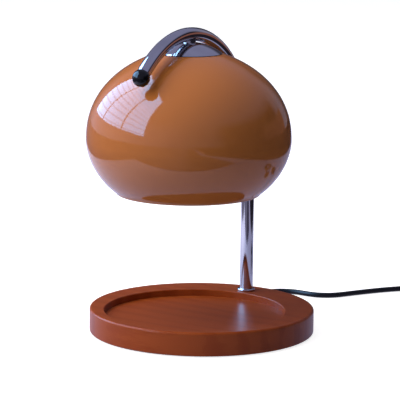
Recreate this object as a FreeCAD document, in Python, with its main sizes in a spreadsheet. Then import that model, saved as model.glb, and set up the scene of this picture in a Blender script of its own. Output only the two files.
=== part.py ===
import FreeCAD
import Part
import Sketcher
import math
import os

# Table lamp that warms from above: a round wooden base with an off-centre recess,
# a bent chrome tube that rises behind it, curls over a glazed dome shade and ends
# in a small ball, and a lamp that shines down out of the shade.
# Frame: origin at the centre of the base on the resting plane, +Z up, the tube
# stands towards +Y and the ball end hangs towards -Y. Millimetres and degrees.

doc = FreeCAD.newDocument("arched_lamp")
sheet = doc.addObject("Spreadsheet::Sheet", "Sizes")
row_count = [0]
V = FreeCAD.Vector


class Size:
    """A dimension that knows its number and the sheet formula behind it."""

    def __init__(self, value, text):
        self.value = float(value)
        self.text = text

    def __add__(self, other):
        other = as_size(other)
        return Size(self.value + other.value, "(%s + %s)" % (self.text, other.text))

    def __radd__(self, other):
        return as_size(other) + self

    def __sub__(self, other):
        other = as_size(other)
        return Size(self.value - other.value, "(%s - %s)" % (self.text, other.text))

    def __rsub__(self, other):
        return as_size(other) - self

    def __mul__(self, other):
        other = as_size(other)
        return Size(self.value * other.value, "(%s * %s)" % (self.text, other.text))

    def __rmul__(self, other):
        return as_size(other) * self

    def __truediv__(self, other):
        other = as_size(other)
        return Size(self.value / other.value, "(%s / %s)" % (self.text, other.text))

    def __neg__(self):
        return Size(-self.value, "(0 - %s)" % self.text)


def as_size(item):
    if isinstance(item, Size):
        return item
    return Size(item, "%.9g" % item if item >= 0 else "(0 - %.9g)" % -item)


def root(item):
    return Size(math.sqrt(item.value), "sqrt(%s)" % item.text)


def sine(item):
    return Size(math.sin(math.radians(item.value)), "sin(%s * 1 deg)" % item.text)


def cosine(item):
    return Size(math.cos(math.radians(item.value)), "cos(%s * 1 deg)" % item.text)


def arcsine(item):
    return Size(math.degrees(math.asin(item.value)), "(asin(%s) / 1 deg)" % item.text)


def size(name, value):
    """One driving dimension: a plain number in the sheet with an alias."""
    row_count[0] += 1
    cell = "B%d" % row_count[0]
    sheet.set("A%d" % row_count[0], name.replace("_", " "))
    sheet.set(cell, "%.9g" % value)
    sheet.setAlias(cell, name)
    return Size(value, "Sizes.%s" % name)


# Clearances that every fit is made from
slip = size("slip_clearance", 0.1)
loose = size("loose_clearance", 0.5)
run_gap = size("turning_clearance", 0.3)

# The shade's widest radius, which the base and the arm follow
shade_radius = size("shade_radius", 89.7)

# Wooden base and its recess
base_margin = size("base_beyond_shade", 10.3)
base_diameter = (shade_radius + base_margin) * 2
base_radius = base_diameter / 2
base_top = size("base_top_height", 22.0)
foot_lift = size("foot_lift", 1.0)
base_top_round = size("base_top_round", 2.0)
base_low_round = size("base_low_round", 1.2)
recess_margin = size("recess_mean_margin", 19.75)
recess_diameter = base_diameter - recess_margin * 2
recess_depth = size("recess_depth", 6.0)
recess_shift = size("recess_shift", 12.4)
recess_round = size("recess_edge_round", 0.8)

# Wiring pocket under the base, its cover and the feet
pocket_width = size("pocket_width", 58.0)
pocket_length = size("pocket_length", 48.0)
pocket_inset = size("pocket_inset", 10.0)
pocket_back = base_radius - pocket_inset
pocket_front = pocket_back - pocket_length
pocket_roof = size("pocket_roof_height", 12.6)
pocket_corner = size("pocket_corner_radius", 7.0)
cover_lip = size("cover_lip", 5.0)
cover_thickness = size("cover_thickness", 1.5)
cover_screw_inset = size("cover_screw_inset", 5.3)
foot_diameter = size("foot_diameter", 14.0)
foot_seat_depth = size("foot_seat_depth", 0.7)
foot_inset = size("foot_inset", 14.0)
foot_circle_radius = base_radius - foot_inset

# Bent tube
tube_diameter = size("tube_diameter", 12.0)
tube_wall = size("tube_wall", 0.9)
pole_inset = size("pole_inset", 20.0)
pole_back = base_radius - pole_inset
rear_clear = size("rear_bend_beyond_shade", 36.3)
rear_bend = shade_radius + rear_clear
rear_turn = size("rear_bend_turn", 44.0)
front_clear = size("front_bend_beyond_shade", 13.6)
front_bend = shade_radius + front_clear
front_turn = size("front_bend_turn", 88.4)
collar_diameter = size("foot_collar_diameter", 16.3)
collar_height = size("foot_collar_height", 2.2)
ball_diameter = size("ball_diameter", 15.2)
ball_spigot = size("ball_spigot_length", 7.0)

# Threaded stems: in the pole's foot and under the arm
stem_diameter = size("stem_diameter", 9.7)
stem_bore = size("stem_bore", 7.0)
stem_grip = size("stem_grip_length", 16.0)
nut_across = size("nut_across_flats", 14.0)
nut_thickness = size("nut_thickness", 3.6)
washer_diameter = size("washer_diameter", 19.0)
washer_thickness = size("washer_thickness", 1.0)

# Shade: an oblate dome with rounded power curves above and below its widest ring
shade_axis_front = size("shade_axis_forward", 25.0)
shade_waist = size("shade_widest_height", 175.8)
shade_rise_share = size("shade_rise_per_radius", 0.897436)
shade_rise = shade_radius * shade_rise_share
shade_rise_power = size("shade_upper_height_power", 2.23)
shade_rise_reach = size("shade_upper_reach_power", 1.785)
shade_fall_share = size("shade_fall_per_radius", 0.695652)
shade_fall = shade_radius * shade_fall_share
shade_fall_power = size("shade_lower_height_power", 1.77)
shade_fall_reach = size("shade_lower_reach_power", 2.55)
shade_mouth = size("shade_mouth_height", 128.6)
shade_wall = size("shade_wall", 3.0)
lip_round = size("shade_lip_round", 1.0)
shade_hole = size("shade_top_hole_diameter", 42.0)
shade_land = size("shade_land_radius", 29.2)

# Fittings at the top of the shade
gasket_thickness = size("gasket_thickness", 0.5)
gasket_width = size("gasket_width", 4.5)
cap_radius = size("cap_radius", 28.5)
cap_height = size("cap_height", 9.6)
cap_wall = size("cap_wall", 1.0)
cap_flat = size("cap_top_flat_depth", 0.4)
neck_diameter = size("neck_diameter", 11.0)
neck_gap = size("neck_gap", 1.0273)
plate_thickness = size("carrier_plate_thickness", 1.5)
plate_radius = size("carrier_plate_radius", 27.0)
plate_boss_height = size("carrier_boss_height", 2.4)

# Lamp cup, ceramic holder and reflector lamp
cup_diameter = size("cup_diameter", 35.0)
cup_length = size("cup_length", 25.0)
cup_wall = size("cup_wall", 0.9)
holder_diameter = size("holder_diameter", 29.0)
holder_height = size("holder_height", 18.0)
post_height = size("holder_post_height", 8.5)
post_diameter = size("holder_post_diameter", 5.6)
post_circle = size("holder_post_spacing", 25.0)
pin_spacing = size("lamp_pin_spacing", 10.0)
pin_diameter = size("lamp_pin_diameter", 2.5)
pin_head_diameter = size("lamp_pin_head_diameter", 4.6)
pin_length = size("lamp_pin_length", 6.6)
lamp_base_diameter = size("lamp_base_diameter", 19.0)
lamp_base_length = size("lamp_base_length", 13.0)
lamp_rim_diameter = size("lamp_rim_diameter", 50.0)
lamp_bowl_depth = size("lamp_bowl_depth", 33.0)
lamp_bowl_power = size("lamp_bowl_power", 0.62)
lamp_wall = size("lamp_wall", 1.3)
lens_thickness = size("lens_thickness", 1.4)
capsule_diameter = size("capsule_diameter", 9.0)
capsule_length = size("capsule_length", 20.0)

# Wiring
cord_diameter = size("cord_diameter", 5.0)
lead_diameter = size("lead_diameter", 1.7)
lead_offset = size("lead_offset", 2.4)
cord_axis_height = size("cord_axis_height", 8.0)
gland_side = size("gland_offset", -20.0)
gland_flange = size("gland_flange_diameter", 12.0)
gland_body = size("gland_sleeve_diameter", 8.4)
gland_tail = size("gland_tail_length", 18.15)
gland_tip = size("gland_tip_diameter", 6.6)
terminal_width = size("terminal_width", 15.0)
terminal_depth = size("terminal_depth", 12.0)
terminal_drop = size("terminal_height", 8.2)
terminal_inset = size("terminal_inset", 22.0)
terminal_back = pocket_back - terminal_inset
clamp_length = size("clamp_length", 16.6)
clamp_width = size("clamp_width", 6.0)
clamp_thickness = size("clamp_thickness", 1.6)
clamp_inset = size("clamp_inset", 9.5)
clamp_centre = pocket_back - clamp_inset

# In-line dimmer and plug
dimmer_length = size("dimmer_length", 58.0)
dimmer_width = size("dimmer_width", 27.0)
dimmer_height = size("dimmer_height", 16.0)
dimmer_wall = size("dimmer_wall", 1.8)
dimmer_corner = size("dimmer_corner_radius", 7.0)
dimmer_edge = size("dimmer_edge_round", 1.5)
dial_diameter = size("dial_diameter", 19.0)
dial_height = size("dial_height", 4.0)
dial_stem = size("dial_stem_diameter", 4.0)
relief_length = size("relief_length", 11.0)
relief_root = size("relief_root_diameter", 9.0)
relief_tip = size("relief_tip_diameter", 6.4)
plug_length = size("plug_length", 31.0)
plug_width = size("plug_width", 25.0)
plug_height = size("plug_height", 15.6)
blade_length = size("blade_length", 17.0)
blade_width = size("blade_width", 6.3)
blade_thickness = size("blade_thickness", 1.5)
blade_spacing = size("blade_spacing", 12.7)
doc.recompute()

nodes = []


def bind(item, field, formula):
    formula = as_size(formula)
    item.setExpression(field, formula.text)


def place(item, x=0, y=0, z=0, turn=None):
    """Put a piece where the sheet says, turned first when a rotation is given."""
    x = as_size(x)
    y = as_size(y)
    z = as_size(z)
    rotation = FreeCAD.Rotation() if turn is None else turn
    item.Placement = FreeCAD.Placement(V(x.value, y.value, z.value), rotation)
    bind(item, "Placement.Base.x", x)
    bind(item, "Placement.Base.y", y)
    bind(item, "Placement.Base.z", z)
    return item


def node(item, label):
    item.Label = label
    nodes.append(item)
    return item


def plane(body, role):
    return [f for f in body.Origin.OriginFeatures if f.Role == role][0]


def sketch_on(body, role, name, lift=None):
    sketch = body.newObject("Sketcher::SketchObject", name)
    sketch.AttachmentSupport = [(plane(body, role), "")]
    sketch.MapMode = "FlatFace"
    if lift is not None:
        bind(sketch, "AttachmentOffset.Base.z", lift)
    return sketch


def pin_point(sketch, geo, pos, x, y):
    """Fix one sketch point at formula coordinates."""
    for kind, number, axis in (("DistanceX", as_size(x), -2), ("DistanceY", as_size(y), -1)):
        if number.value == 0 and number.text == "0":
            sketch.addConstraint(Sketcher.Constraint("PointOnObject", geo, pos, axis))
        else:
            made = Sketcher.Constraint(kind, -1, 1, geo, pos, number.value)
            index = sketch.addConstraint(made)
            sketch.setExpression("Constraints[%d]" % index, number.text)


def outline(sketch, points):
    """Closed outline of straight edges through formula points."""
    flat = [(as_size(a), as_size(b)) for a, b in points]
    count = len(flat)
    for i in range(count):
        a = flat[i]
        b = flat[(i + 1) % count]
        side = Part.LineSegment(V(a[0].value, a[1].value, 0), V(b[0].value, b[1].value, 0))
        sketch.addGeometry(side, False)
    for i in range(count):
        sketch.addConstraint(Sketcher.Constraint("Coincident", i, 2, (i + 1) % count, 1))
    for i in range(count):
        pin_point(sketch, i, 1, flat[i][0], flat[i][1])


def ring(sketch, radius, x=0, y=0):
    """A circle at a formula place with a formula radius."""
    radius = as_size(radius)
    x = as_size(x)
    y = as_size(y)
    geo = sketch.addGeometry(Part.Circle(V(x.value, y.value, 0), V(0, 0, 1), radius.value), False)
    pin_point(sketch, geo, 3, x, y)
    index = sketch.addConstraint(Sketcher.Constraint("Radius", geo, radius.value))
    sketch.setExpression("Constraints[%d]" % index, radius.text)
    return geo


def turned(name, points):
    """A turned piece: radius and height pairs, spun about the body's own Z."""
    body = doc.addObject("PartDesign::Body", name)
    sketch = sketch_on(body, "XZ_Plane", name + "_profile")
    outline(sketch, points)
    spun = body.newObject("PartDesign::Revolution", name + "_turned")
    spun.Profile = sketch
    spun.ReferenceAxis = (sketch, ["V_Axis"])
    spun.Angle = 360
    return body


def block(name, length, width, height, corner=None, edge=None):
    """A pad centred on X and Y, standing on Z, with rounded uprights and top edge."""
    body = doc.addObject("PartDesign::Body", name)
    sketch = sketch_on(body, "XY_Plane", name + "_plan")
    a = as_size(length) / 2
    b = as_size(width) / 2
    outline(sketch, [(-a, -b), (a, -b), (a, b), (-a, b)])
    pad = body.newObject("PartDesign::Pad", name + "_pad")
    pad.Profile = sketch
    bind(pad, "Length", height)
    doc.recompute()
    last = pad
    if corner is not None:
        last = rounding(body, last, corner, upright_edges(last))
    if edge is not None:
        top = as_size(height).value
        last = rounding(body, last, edge, edges_at(last, top))
    return body


def upright_edges(feature):
    names = []
    for i, e in enumerate(feature.Shape.Edges):
        box = e.BoundBox
        if box.XLength < 1e-6 and box.YLength < 1e-6:
            names.append("Edge%d" % (i + 1))
    return names


def edges_at(feature, height, radius=None, centre=None):
    """Names of the edges that lie at one height, or circles of one radius there."""
    names = []
    for i, e in enumerate(feature.Shape.Edges):
        box = e.BoundBox
        if box.ZLength > 1e-5 or abs(box.ZMin - height) > 1e-4:
            continue
        if radius is not None:
            if not isinstance(e.Curve, Part.Circle) or abs(e.Curve.Radius - radius) > 1e-4:
                continue
        if centre is not None and (e.Curve.Center - centre).Length > 1e-3:
            continue
        names.append("Edge%d" % (i + 1))
    return names


def rounding(body, feature, radius, names):
    made = body.newObject("PartDesign::Fillet", feature.Name + "_round")
    made.Base = (feature, names)
    bind(made, "Radius", radius)
    doc.recompute()
    return made


def rod(name, radius, height, x=0, y=0, z=0, turn=None):
    made = doc.addObject("Part::Cylinder", name)
    bind(made, "Radius", radius)
    bind(made, "Height", height)
    return place(made, x, y, z, turn)


def slab(name, length, width, height, x=0, y=0, z=0, turn=None):
    """A plain box, placed by the corner that its own axes start from."""
    made = doc.addObject("Part::Box", name)
    bind(made, "Length", length)
    bind(made, "Width", width)
    bind(made, "Height", height)
    return place(made, x, y, z, turn)


def minus(name, base, tools):
    """The base with every tool taken away, one cut after another."""
    made = base
    for i, tool in enumerate(tools):
        step = doc.addObject("Part::Cut", "%s_%d" % (name, i + 1))
        step.Base = made
        step.Tool = tool
        made = step
    return made


def together(name, items):
    made = doc.addObject("Part::MultiFuse", name)
    made.Shapes = items
    return made


def group(name, items):
    made = doc.addObject("Part::Compound", name)
    made.Links = items
    return made


def hexagon(name, across, height, bore, x, y, z, turn=None):
    body = doc.addObject("PartDesign::Body", name)
    sketch = sketch_on(body, "XY_Plane", name + "_plan")
    corner = as_size(across) / 2 / math.cos(math.radians(30))
    points = []
    for k in range(6):
        angle = math.radians(60 * k)
        points.append((corner * math.cos(angle), corner * math.sin(angle) if k not in (0, 3) else 0))
    outline(sketch, points)
    ring(sketch, as_size(bore) / 2)
    pad = body.newObject("PartDesign::Pad", name + "_pad")
    pad.Profile = sketch
    bind(pad, "Length", height)
    return place(body, x, y, z, turn)


def seg(points):
    """Straight runs joined by tangent arcs; prints nothing, returns wire and radii."""
    pts = [V(*p) for p in points]
    edges = []
    radii = []
    start = pts[0]
    for i in range(1, len(pts) - 1):
        before = pts[i - 1] - pts[i]
        after = pts[i + 1] - pts[i]
        shorter = min(before.Length, after.Length)
        before.normalize()
        after.normalize()
        turn = math.pi - before.getAngle(after)
        back = 0.45 * shorter
        radius = back / math.tan(turn / 2)
        radii.append(radius)
        first = pts[i] + before * back
        last = pts[i] + after * back
        middle = before + after
        middle.normalize()
        centre = pts[i] + middle * math.sqrt(radius ** 2 + back ** 2)
        top = centre - middle * radius
        edges.append(Part.LineSegment(start, first).toShape())
        edges.append(Part.Arc(first, top, last).toShape())
        start = last
    edges.append(Part.LineSegment(start, pts[-1]).toShape())
    return Part.Wire(edges), radii


def piped(label, wire, diameter, report=True):
    """A round solid along a path, its volume compared with section times length."""
    edge = wire.Edges[0]
    at = edge.valueAt(edge.FirstParameter)
    along = edge.tangentAt(edge.FirstParameter)
    section = Part.Wire([Part.Circle(at, along, diameter / 2).toShape()])
    shape = wire.makePipeShell([section], True, False)
    if not shape.isValid() or shape.ShapeType != "Solid":
        shape = Part.Solid(shape.Shells[0])
    if shape.Volume < 0:
        shape.reverse()
    expected = math.pi * diameter ** 2 / 4 * wire.Length
    if report:
        print("%s: length %.1f volume ratio %.4f" % (label, wire.Length, shape.Volume / expected))
    made = doc.addObject("Part::Feature", label)
    made.Shape = shape
    return made


# Wooden base
base_height = base_top - foot_lift
base = doc.addObject("PartDesign::Body", "base_blank")
plan = sketch_on(base, "XY_Plane", "base_plan")
ring(plan, base_radius)
disc = base.newObject("PartDesign::Pad", "base_pad")
disc.Profile = plan
bind(disc, "Length", base_height)
doc.recompute()
hollow_plan = sketch_on(base, "XY_Plane", "recess_plan", base_height)
ring(hollow_plan, recess_diameter / 2, 0, -recess_shift)
recess = base.newObject("PartDesign::Pocket", "recess_pocket")
recess.Profile = hollow_plan
bind(recess, "Length", recess_depth)
doc.recompute()
top_level = base_height.value
last = rounding(base, recess, base_top_round, edges_at(recess, top_level, base_radius.value))
last = rounding(base, last, recess_round, edges_at(last, top_level, recess_diameter.value / 2))
last = rounding(base, last, base_low_round, edges_at(last, 0.0, base_radius.value))
pocket_middle = (pocket_back + pocket_front) / 2


def rounded_slab(name, length, width, height, corner, y, z):
    """A pad with rounded uprights, centred on x = 0 and on the given y."""
    return place(block(name, length, width, height, corner), 0, y, z)


wire_pocket = rounded_slab("wire_pocket", pocket_width, pocket_length, pocket_roof - foot_lift + 1,
                           pocket_corner, pocket_middle, foot_lift - 1)
cover_corner = pocket_corner + cover_lip
cover_seat = rounded_slab("cover_seat", pocket_width + cover_lip * 2, pocket_length + cover_lip * 2,
                          cover_thickness + slip + 1, cover_corner, pocket_middle, foot_lift - 1)
place(base, 0, 0, foot_lift)
stem_hole = rod("stem_hole", stem_diameter / 2 + slip, base_top, 0, pole_back, foot_lift)
along_y = FreeCAD.Rotation(V(1, 0, 0), -90)
gland_hole = rod("gland_hole", gland_body / 2 + slip, base_radius, gland_side, pocket_middle,
                 cord_axis_height, along_y)
gland_reach = gland_side - gland_flange / 2
gland_y = root(base_radius * base_radius - gland_reach * gland_reach)
gland_spot = rod("gland_spot", gland_flange / 2 + slip, base_radius, gland_side, gland_y + 0.2,
                 cord_axis_height, along_y)
foot_tools = []
feet = []
for index, angle in enumerate((45, 135, 225, 315)):
    c = math.cos(math.radians(angle))
    s = math.sin(math.radians(angle))
    foot_tools.append(rod("foot_seat_%d" % index, foot_diameter / 2 + slip, foot_seat_depth + 1,
                          foot_circle_radius * c, foot_circle_radius * s, foot_lift - 1))
    feet.append(rod("foot_%d" % index, foot_diameter / 2, foot_lift + foot_seat_depth,
                    foot_circle_radius * c, foot_circle_radius * s, 0))
screw_x = pocket_width / 2 + cover_lip - cover_screw_inset - slip
screw_y_front = pocket_front - cover_lip + cover_screw_inset
screw_y_back = pocket_back + cover_lip - cover_screw_inset
cover_spots = [(screw_x, screw_y_front), (-screw_x, screw_y_front),
               (screw_x, screw_y_back), (-screw_x, screw_y_back)]
cover_screw_tools = []
for index, spot in enumerate(cover_spots):
    cover_screw_tools.append(rod("cover_screw_bore_%d" % index, 1.1, 9, spot[0], spot[1], foot_lift))
clamp_side = clamp_length / 2 - 3
terminal_middle = terminal_back - terminal_depth / 2
block_bore = rod("terminal_screw_bore", 1.2, 10.2, 0, terminal_middle, cord_axis_height - 3.4)
base_cut = minus("base_cut", base, [wire_pocket, cover_seat, stem_hole, gland_hole, gland_spot] + foot_tools
                 + cover_screw_tools + [block_bore])
node(base_cut, "base_disc")
node(group("foot_group", feet), "foot_pads")

# Cover plate under the pocket and its screws
cover_width = pocket_width + cover_lip * 2 - slip * 2
cover_length = pocket_length + cover_lip * 2 - slip * 2
cover = rounded_slab("cover_blank", cover_width, cover_length, cover_thickness,
                     cover_corner - slip, pocket_middle, foot_lift)
cover_holes = []
cover_screws = []
for index, spot in enumerate(cover_spots):
    sink = turned("cover_sink_%d" % index, [(0, 0), (2.6, 0), (1.3, 1.3), (1.3, 3), (0, 3)])
    cover_holes.append(place(sink, spot[0], spot[1], foot_lift))
    screw = turned("cover_screw_%d" % index,
                   [(0, 0), (2.3, 0), (1.05, 1.25), (1.05, 7.4), (0.3, 8.4), (0, 8.4)])
    cover_screws.append(place(screw, spot[0], spot[1], foot_lift))
node(minus("cover_cut", cover, cover_holes), "bottom_cover")
node(group("cover_screw_group", cover_screws), "cover_screws")

# Shade's outer curve, and the arm's height above the cap that stands on it
def shade_radius_at(height):
    """Outer radius of the shade at one height above the base plane."""
    if height >= shade_waist.value:
        part = (height - shade_waist.value) / shade_rise.value
        return shade_radius.value * (1 - part ** shade_rise_power.value) ** (1 / shade_rise_reach.value)
    part = (shade_waist.value - height) / shade_fall.value
    return shade_radius.value * (1 - part ** shade_fall_power.value) ** (1 / shade_fall_reach.value)


def shade_height_at(reach):
    """Outer height of the shade's upper half at one radius."""
    part = 1 - (reach / shade_radius.value) ** shade_rise_reach.value
    return shade_waist.value + shade_rise.value * part ** (1 / shade_rise_power.value)


land_z = shade_height_at(shade_land.value)
land = Size(land_z, "%.9g" % land_z)
axis_y = -shade_axis_front
bend_y = pole_back - rear_bend + (rear_bend - front_bend) * cosine(rear_turn)
offset = axis_y - bend_y
arm_z = land + gasket_thickness + cap_height - cap_flat + neck_gap + tube_diameter / 2
bend_z = arm_z - root(front_bend * front_bend - offset * offset)
pole_top = bend_z - (rear_bend - front_bend) * sine(rear_turn)

# Bent tube: an upright, a slack rear bend and a tighter bend over the shade
tube = doc.addObject("PartDesign::Body", "tube_blank")
section = sketch_on(tube, "XY_Plane", "tube_section")
ring(section, tube_diameter / 2, 0, pole_back)
ring(section, tube_diameter / 2 - tube_wall, 0, pole_back)
path = sketch_on(tube, "YZ_Plane", "tube_path")
upright = pole_top - base_top
P = pole_back.value
H = upright.value
A = math.radians(rear_turn.value)
B = math.radians(rear_turn.value + front_turn.value)
c1 = (P - rear_bend.value, H)
joint = (c1[0] + rear_bend.value * math.cos(A), c1[1] + rear_bend.value * math.sin(A))
c2 = (joint[0] - front_bend.value * math.cos(A), joint[1] - front_bend.value * math.sin(A))
path.addGeometry(Part.LineSegment(V(P, 0, 0), V(P, H, 0)), False)
path.addGeometry(Part.ArcOfCircle(Part.Circle(V(c1[0], c1[1], 0), V(0, 0, 1), rear_bend.value), 0, A), False)
path.addGeometry(Part.ArcOfCircle(Part.Circle(V(c2[0], c2[1], 0), V(0, 0, 1), front_bend.value), A, B), False)
pin_point(path, 0, 1, pole_back, 0)
path.addConstraint(Sketcher.Constraint("Vertical", 0))
for kind, args, formula in (
        ("DistanceY", (0, 1, 0, 2, H), upright),
        ("Radius", (1, rear_bend.value), rear_bend),
        ("Radius", (2, front_bend.value), front_bend),
        ("Angle", (1, A), rear_turn),
        ("Angle", (2, B - A), front_turn)):
    number = path.addConstraint(Sketcher.Constraint(kind, *args))
    path.setExpression("Constraints[%d]" % number, formula.text + (" * 1 deg" if kind == "Angle" else ""))
path.addConstraint(Sketcher.Constraint("Tangent", 0, 2, 1, 1))
path.addConstraint(Sketcher.Constraint("Tangent", 1, 2, 2, 1))
pipe = tube.newObject("PartDesign::AdditivePipe", "tube_pipe")
pipe.Profile = section
pipe.Spine = (path, ["Edge1", "Edge2", "Edge3"])
place(tube, 0, 0, base_top)
doc.recompute()

# Hole for the leads where the arm passes over the shade
inner_bore = tube_diameter / 2 - tube_wall
wire_hole = rod("arm_wire_hole", stem_bore / 2, tube_diameter / 2 + 1, 0, axis_y,
                arm_z - tube_diameter / 2 - 1)
node(minus("arm_cut", tube, [wire_hole]), "arm_tube")

# Ball on the open end of the arm
end_angle = rear_turn + front_turn
end_y = bend_y + front_bend * cosine(end_angle)
end_z = bend_z + front_bend * sine(end_angle)
ball_seat = tube_diameter / 2 - 0.15
ball_shoulder = root(ball_diameter * ball_diameter / 4 - ball_seat * ball_seat)
sphere = doc.addObject("Part::Sphere", "ball_round")
bind(sphere, "Radius", ball_diameter / 2)
sphere.setExpression("Angle2", "asin(%s / (%s / 2))" % (ball_shoulder.text, ball_diameter.text))
spigot = rod("ball_spigot", inner_bore - slip * 5, ball_spigot, 0, 0, ball_shoulder)
ball = together("ball_body", [sphere, spigot])
toward = V(0, -math.sin(B), math.cos(B))
tilt = FreeCAD.Rotation(V(0, 0, 1), V(0, -toward.y, -toward.z))
place(ball, 0, end_y - ball_shoulder * sine(end_angle), end_z + ball_shoulder * cosine(end_angle), tilt)
node(ball, "end_ball")

# Foot of the pole: collar, threaded stem, washer and nut
collar = turned("collar_body", [
    (tube_diameter / 2 + slip, 0), (collar_diameter / 2, 0), (collar_diameter / 2, collar_height - 0.7),
    (collar_diameter / 2 - 0.7, collar_height), (tube_diameter / 2 + slip, collar_height)])
node(place(collar, 0, pole_back, base_top), "foot_collar")
stem_end = pocket_roof - washer_thickness - nut_thickness - 1
stem = turned("stem_body", [
    (stem_bore / 2, 0), (stem_diameter / 2, 0), (stem_diameter / 2, base_top - stem_end),
    (inner_bore - slip / 2, base_top - stem_end), (inner_bore - slip / 2, base_top - stem_end + stem_grip),
    (stem_bore / 2, base_top - stem_end + stem_grip)])
node(place(stem, 0, pole_back, stem_end), "pole_stem")
pole_washer = turned("pole_washer_body", [
    (stem_diameter / 2 + slip, 0), (washer_diameter / 2, 0), (washer_diameter / 2, washer_thickness),
    (stem_diameter / 2 + slip, washer_thickness)])
node(place(pole_washer, 0, pole_back, pocket_roof - washer_thickness), "pole_washer")
pole_nut = hexagon("pole_nut_body", nut_across, nut_thickness, stem_diameter + slip, 0, pole_back,
                   pocket_roof - washer_thickness - nut_thickness)
node(pole_nut, "pole_nut")

# Shade: the outer curve from the mouth up to the flat land, then the inner one
wall = shade_wall.value
outer = []
lip_z = shade_mouth.value + lip_round.value
span_low = shade_waist.value - lip_z
for k in range(9):
    height = lip_z + span_low * math.sin(math.pi / 2 * k / 8)
    outer.append(V(shade_radius_at(height), 0, height))
for k in range(1, 13):
    turn = math.pi / 2 * k / 12
    reach = shade_radius.value - (shade_radius.value - shade_land.value) * (1 - math.cos(turn))
    height = shade_height_at(reach)
    outer.append(V(reach, 0, height))
curve = Part.BSplineCurve()
curve.interpolate(outer)
inner = []
samples = 20
for k in range(samples + 1):
    t = curve.FirstParameter + (curve.LastParameter - curve.FirstParameter) * k / samples
    at = curve.value(t)
    along = curve.tangent(t)[0]
    inner.append(at + V(-along.z, 0, along.x) * wall)
inner[0] = V(inner[0].x, 0, lip_z)
inner[-1] = V(shade_land.value - 1.0, 0, land_z - wall)
inner_curve = Part.BSplineCurve()
inner_curve.interpolate(inner)
hole = shade_hole.value / 2
corners = [V(shade_land.value, 0, land_z), V(hole, 0, land_z), V(hole, 0, land_z - wall), inner[-1]]
edges = [curve.toShape()]
for a, b in zip(corners, corners[1:]):
    edges.append(Part.LineSegment(a, b).toShape())
edges.append(inner_curve.toShape())
lip = (inner[0] + outer[0]) / 2 - V(0, 0, lip_round.value)
edges.append(Part.Arc(inner[0], lip, outer[0]).toShape())
face = Part.Face(Part.Wire(Part.__sortEdges__(edges)))
shade_shape = face.revolve(V(0, 0, 0), V(0, 0, 1), 360)
if shade_shape.ShapeType != "Solid":
    shade_shape = Part.Solid(shade_shape.Shells[0])
if shade_shape.Volume < 0:
    shade_shape.reverse()
shade = doc.addObject("Part::Feature", "shade_body")
shade.Shape = shade_shape
shade.Placement = FreeCAD.Placement(V(0, axis_y.value, 0), FreeCAD.Rotation())
node(shade, "shade")

# Chrome cap, gaskets and the neck that carries them
gasket_outer = cap_radius - slip * 2
top_gasket = turned("top_gasket_body", [
    (gasket_outer - gasket_width, 0), (gasket_outer, 0), (gasket_outer, gasket_thickness),
    (gasket_outer - gasket_width, gasket_thickness)])
node(place(top_gasket, 0, axis_y, land), "shade_gasket_upper")
cap_z = land + gasket_thickness
dome_radius = (cap_radius * cap_radius + cap_height * cap_height) / (cap_height * 2)
dome_centre = cap_z + cap_height - dome_radius
dome = doc.addObject("Part::Sphere", "cap_outer")
bind(dome, "Radius", dome_radius)
dome.setExpression("Angle1", "asin((%s - %s) / %s)" % (dome_radius.text, cap_height.text, dome_radius.text))
place(dome, 0, axis_y, dome_centre)
dome_core = doc.addObject("Part::Sphere", "cap_inner")
bind(dome_core, "Radius", dome_radius - cap_wall)
place(dome_core, 0, axis_y, dome_centre)
cap_flat_z = cap_z + cap_height - cap_flat
cap_bore = rod("cap_bore", stem_diameter / 2 + slip, 60, 0, axis_y, cap_z - 30)
cap_trim = rod("cap_trim", 30, 10, 0, axis_y, cap_flat_z)
node(minus("cap_cut", dome, [dome_core, cap_bore, cap_trim]), "dome_cap")

inner_land = land - shade_wall
plate_z = inner_land - gasket_thickness - plate_thickness
cup_top = plate_z - nut_thickness
neck_end = cup_top - cup_wall - nut_thickness - 1
neck = turned("neck_turned", [
    (stem_bore / 2, 0), (stem_diameter / 2, 0), (stem_diameter / 2, cap_flat_z - neck_end),
    (neck_diameter / 2, cap_flat_z - neck_end), (neck_diameter / 2, arm_z - neck_end - 2.2),
    (stem_bore / 2, arm_z - neck_end - 2.2)])
place(neck, 0, axis_y, neck_end)
saddle = doc.addObject("Part::Torus", "saddle_tool")
bind(saddle, "Radius1", front_bend)
bind(saddle, "Radius2", tube_diameter / 2 + 0.03)
place(saddle, 0, bend_y, bend_z, FreeCAD.Rotation(V(0, 1, 0), 90))
node(minus("neck_cut", neck, [saddle]), "neck_stem")
low_gasket = turned("low_gasket_body", [
    (shade_hole / 2 + 0.5, 0), (plate_radius - 0.3, 0), (plate_radius - 0.3, gasket_thickness),
    (shade_hole / 2 + 0.5, gasket_thickness)])
node(place(low_gasket, 0, axis_y, inner_land - gasket_thickness), "shade_gasket_lower")
carrier = turned("carrier_body", [
    (stem_diameter / 2 + slip, 0), (plate_radius, 0), (plate_radius, plate_thickness),
    (shade_hole / 2 - loose, plate_thickness), (shade_hole / 2 - loose, plate_thickness + plate_boss_height),
    (shade_hole / 2 - loose - 1.5, plate_thickness + plate_boss_height),
    (shade_hole / 2 - loose - 1.5, plate_thickness), (stem_diameter / 2 + slip, plate_thickness)])
node(place(carrier, 0, axis_y, plate_z), "carrier_plate")
carrier_nut = hexagon("carrier_nut_body", nut_across, nut_thickness, stem_diameter + slip, 0, axis_y,
                      plate_z - nut_thickness)
node(carrier_nut, "carrier_nut")

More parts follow.
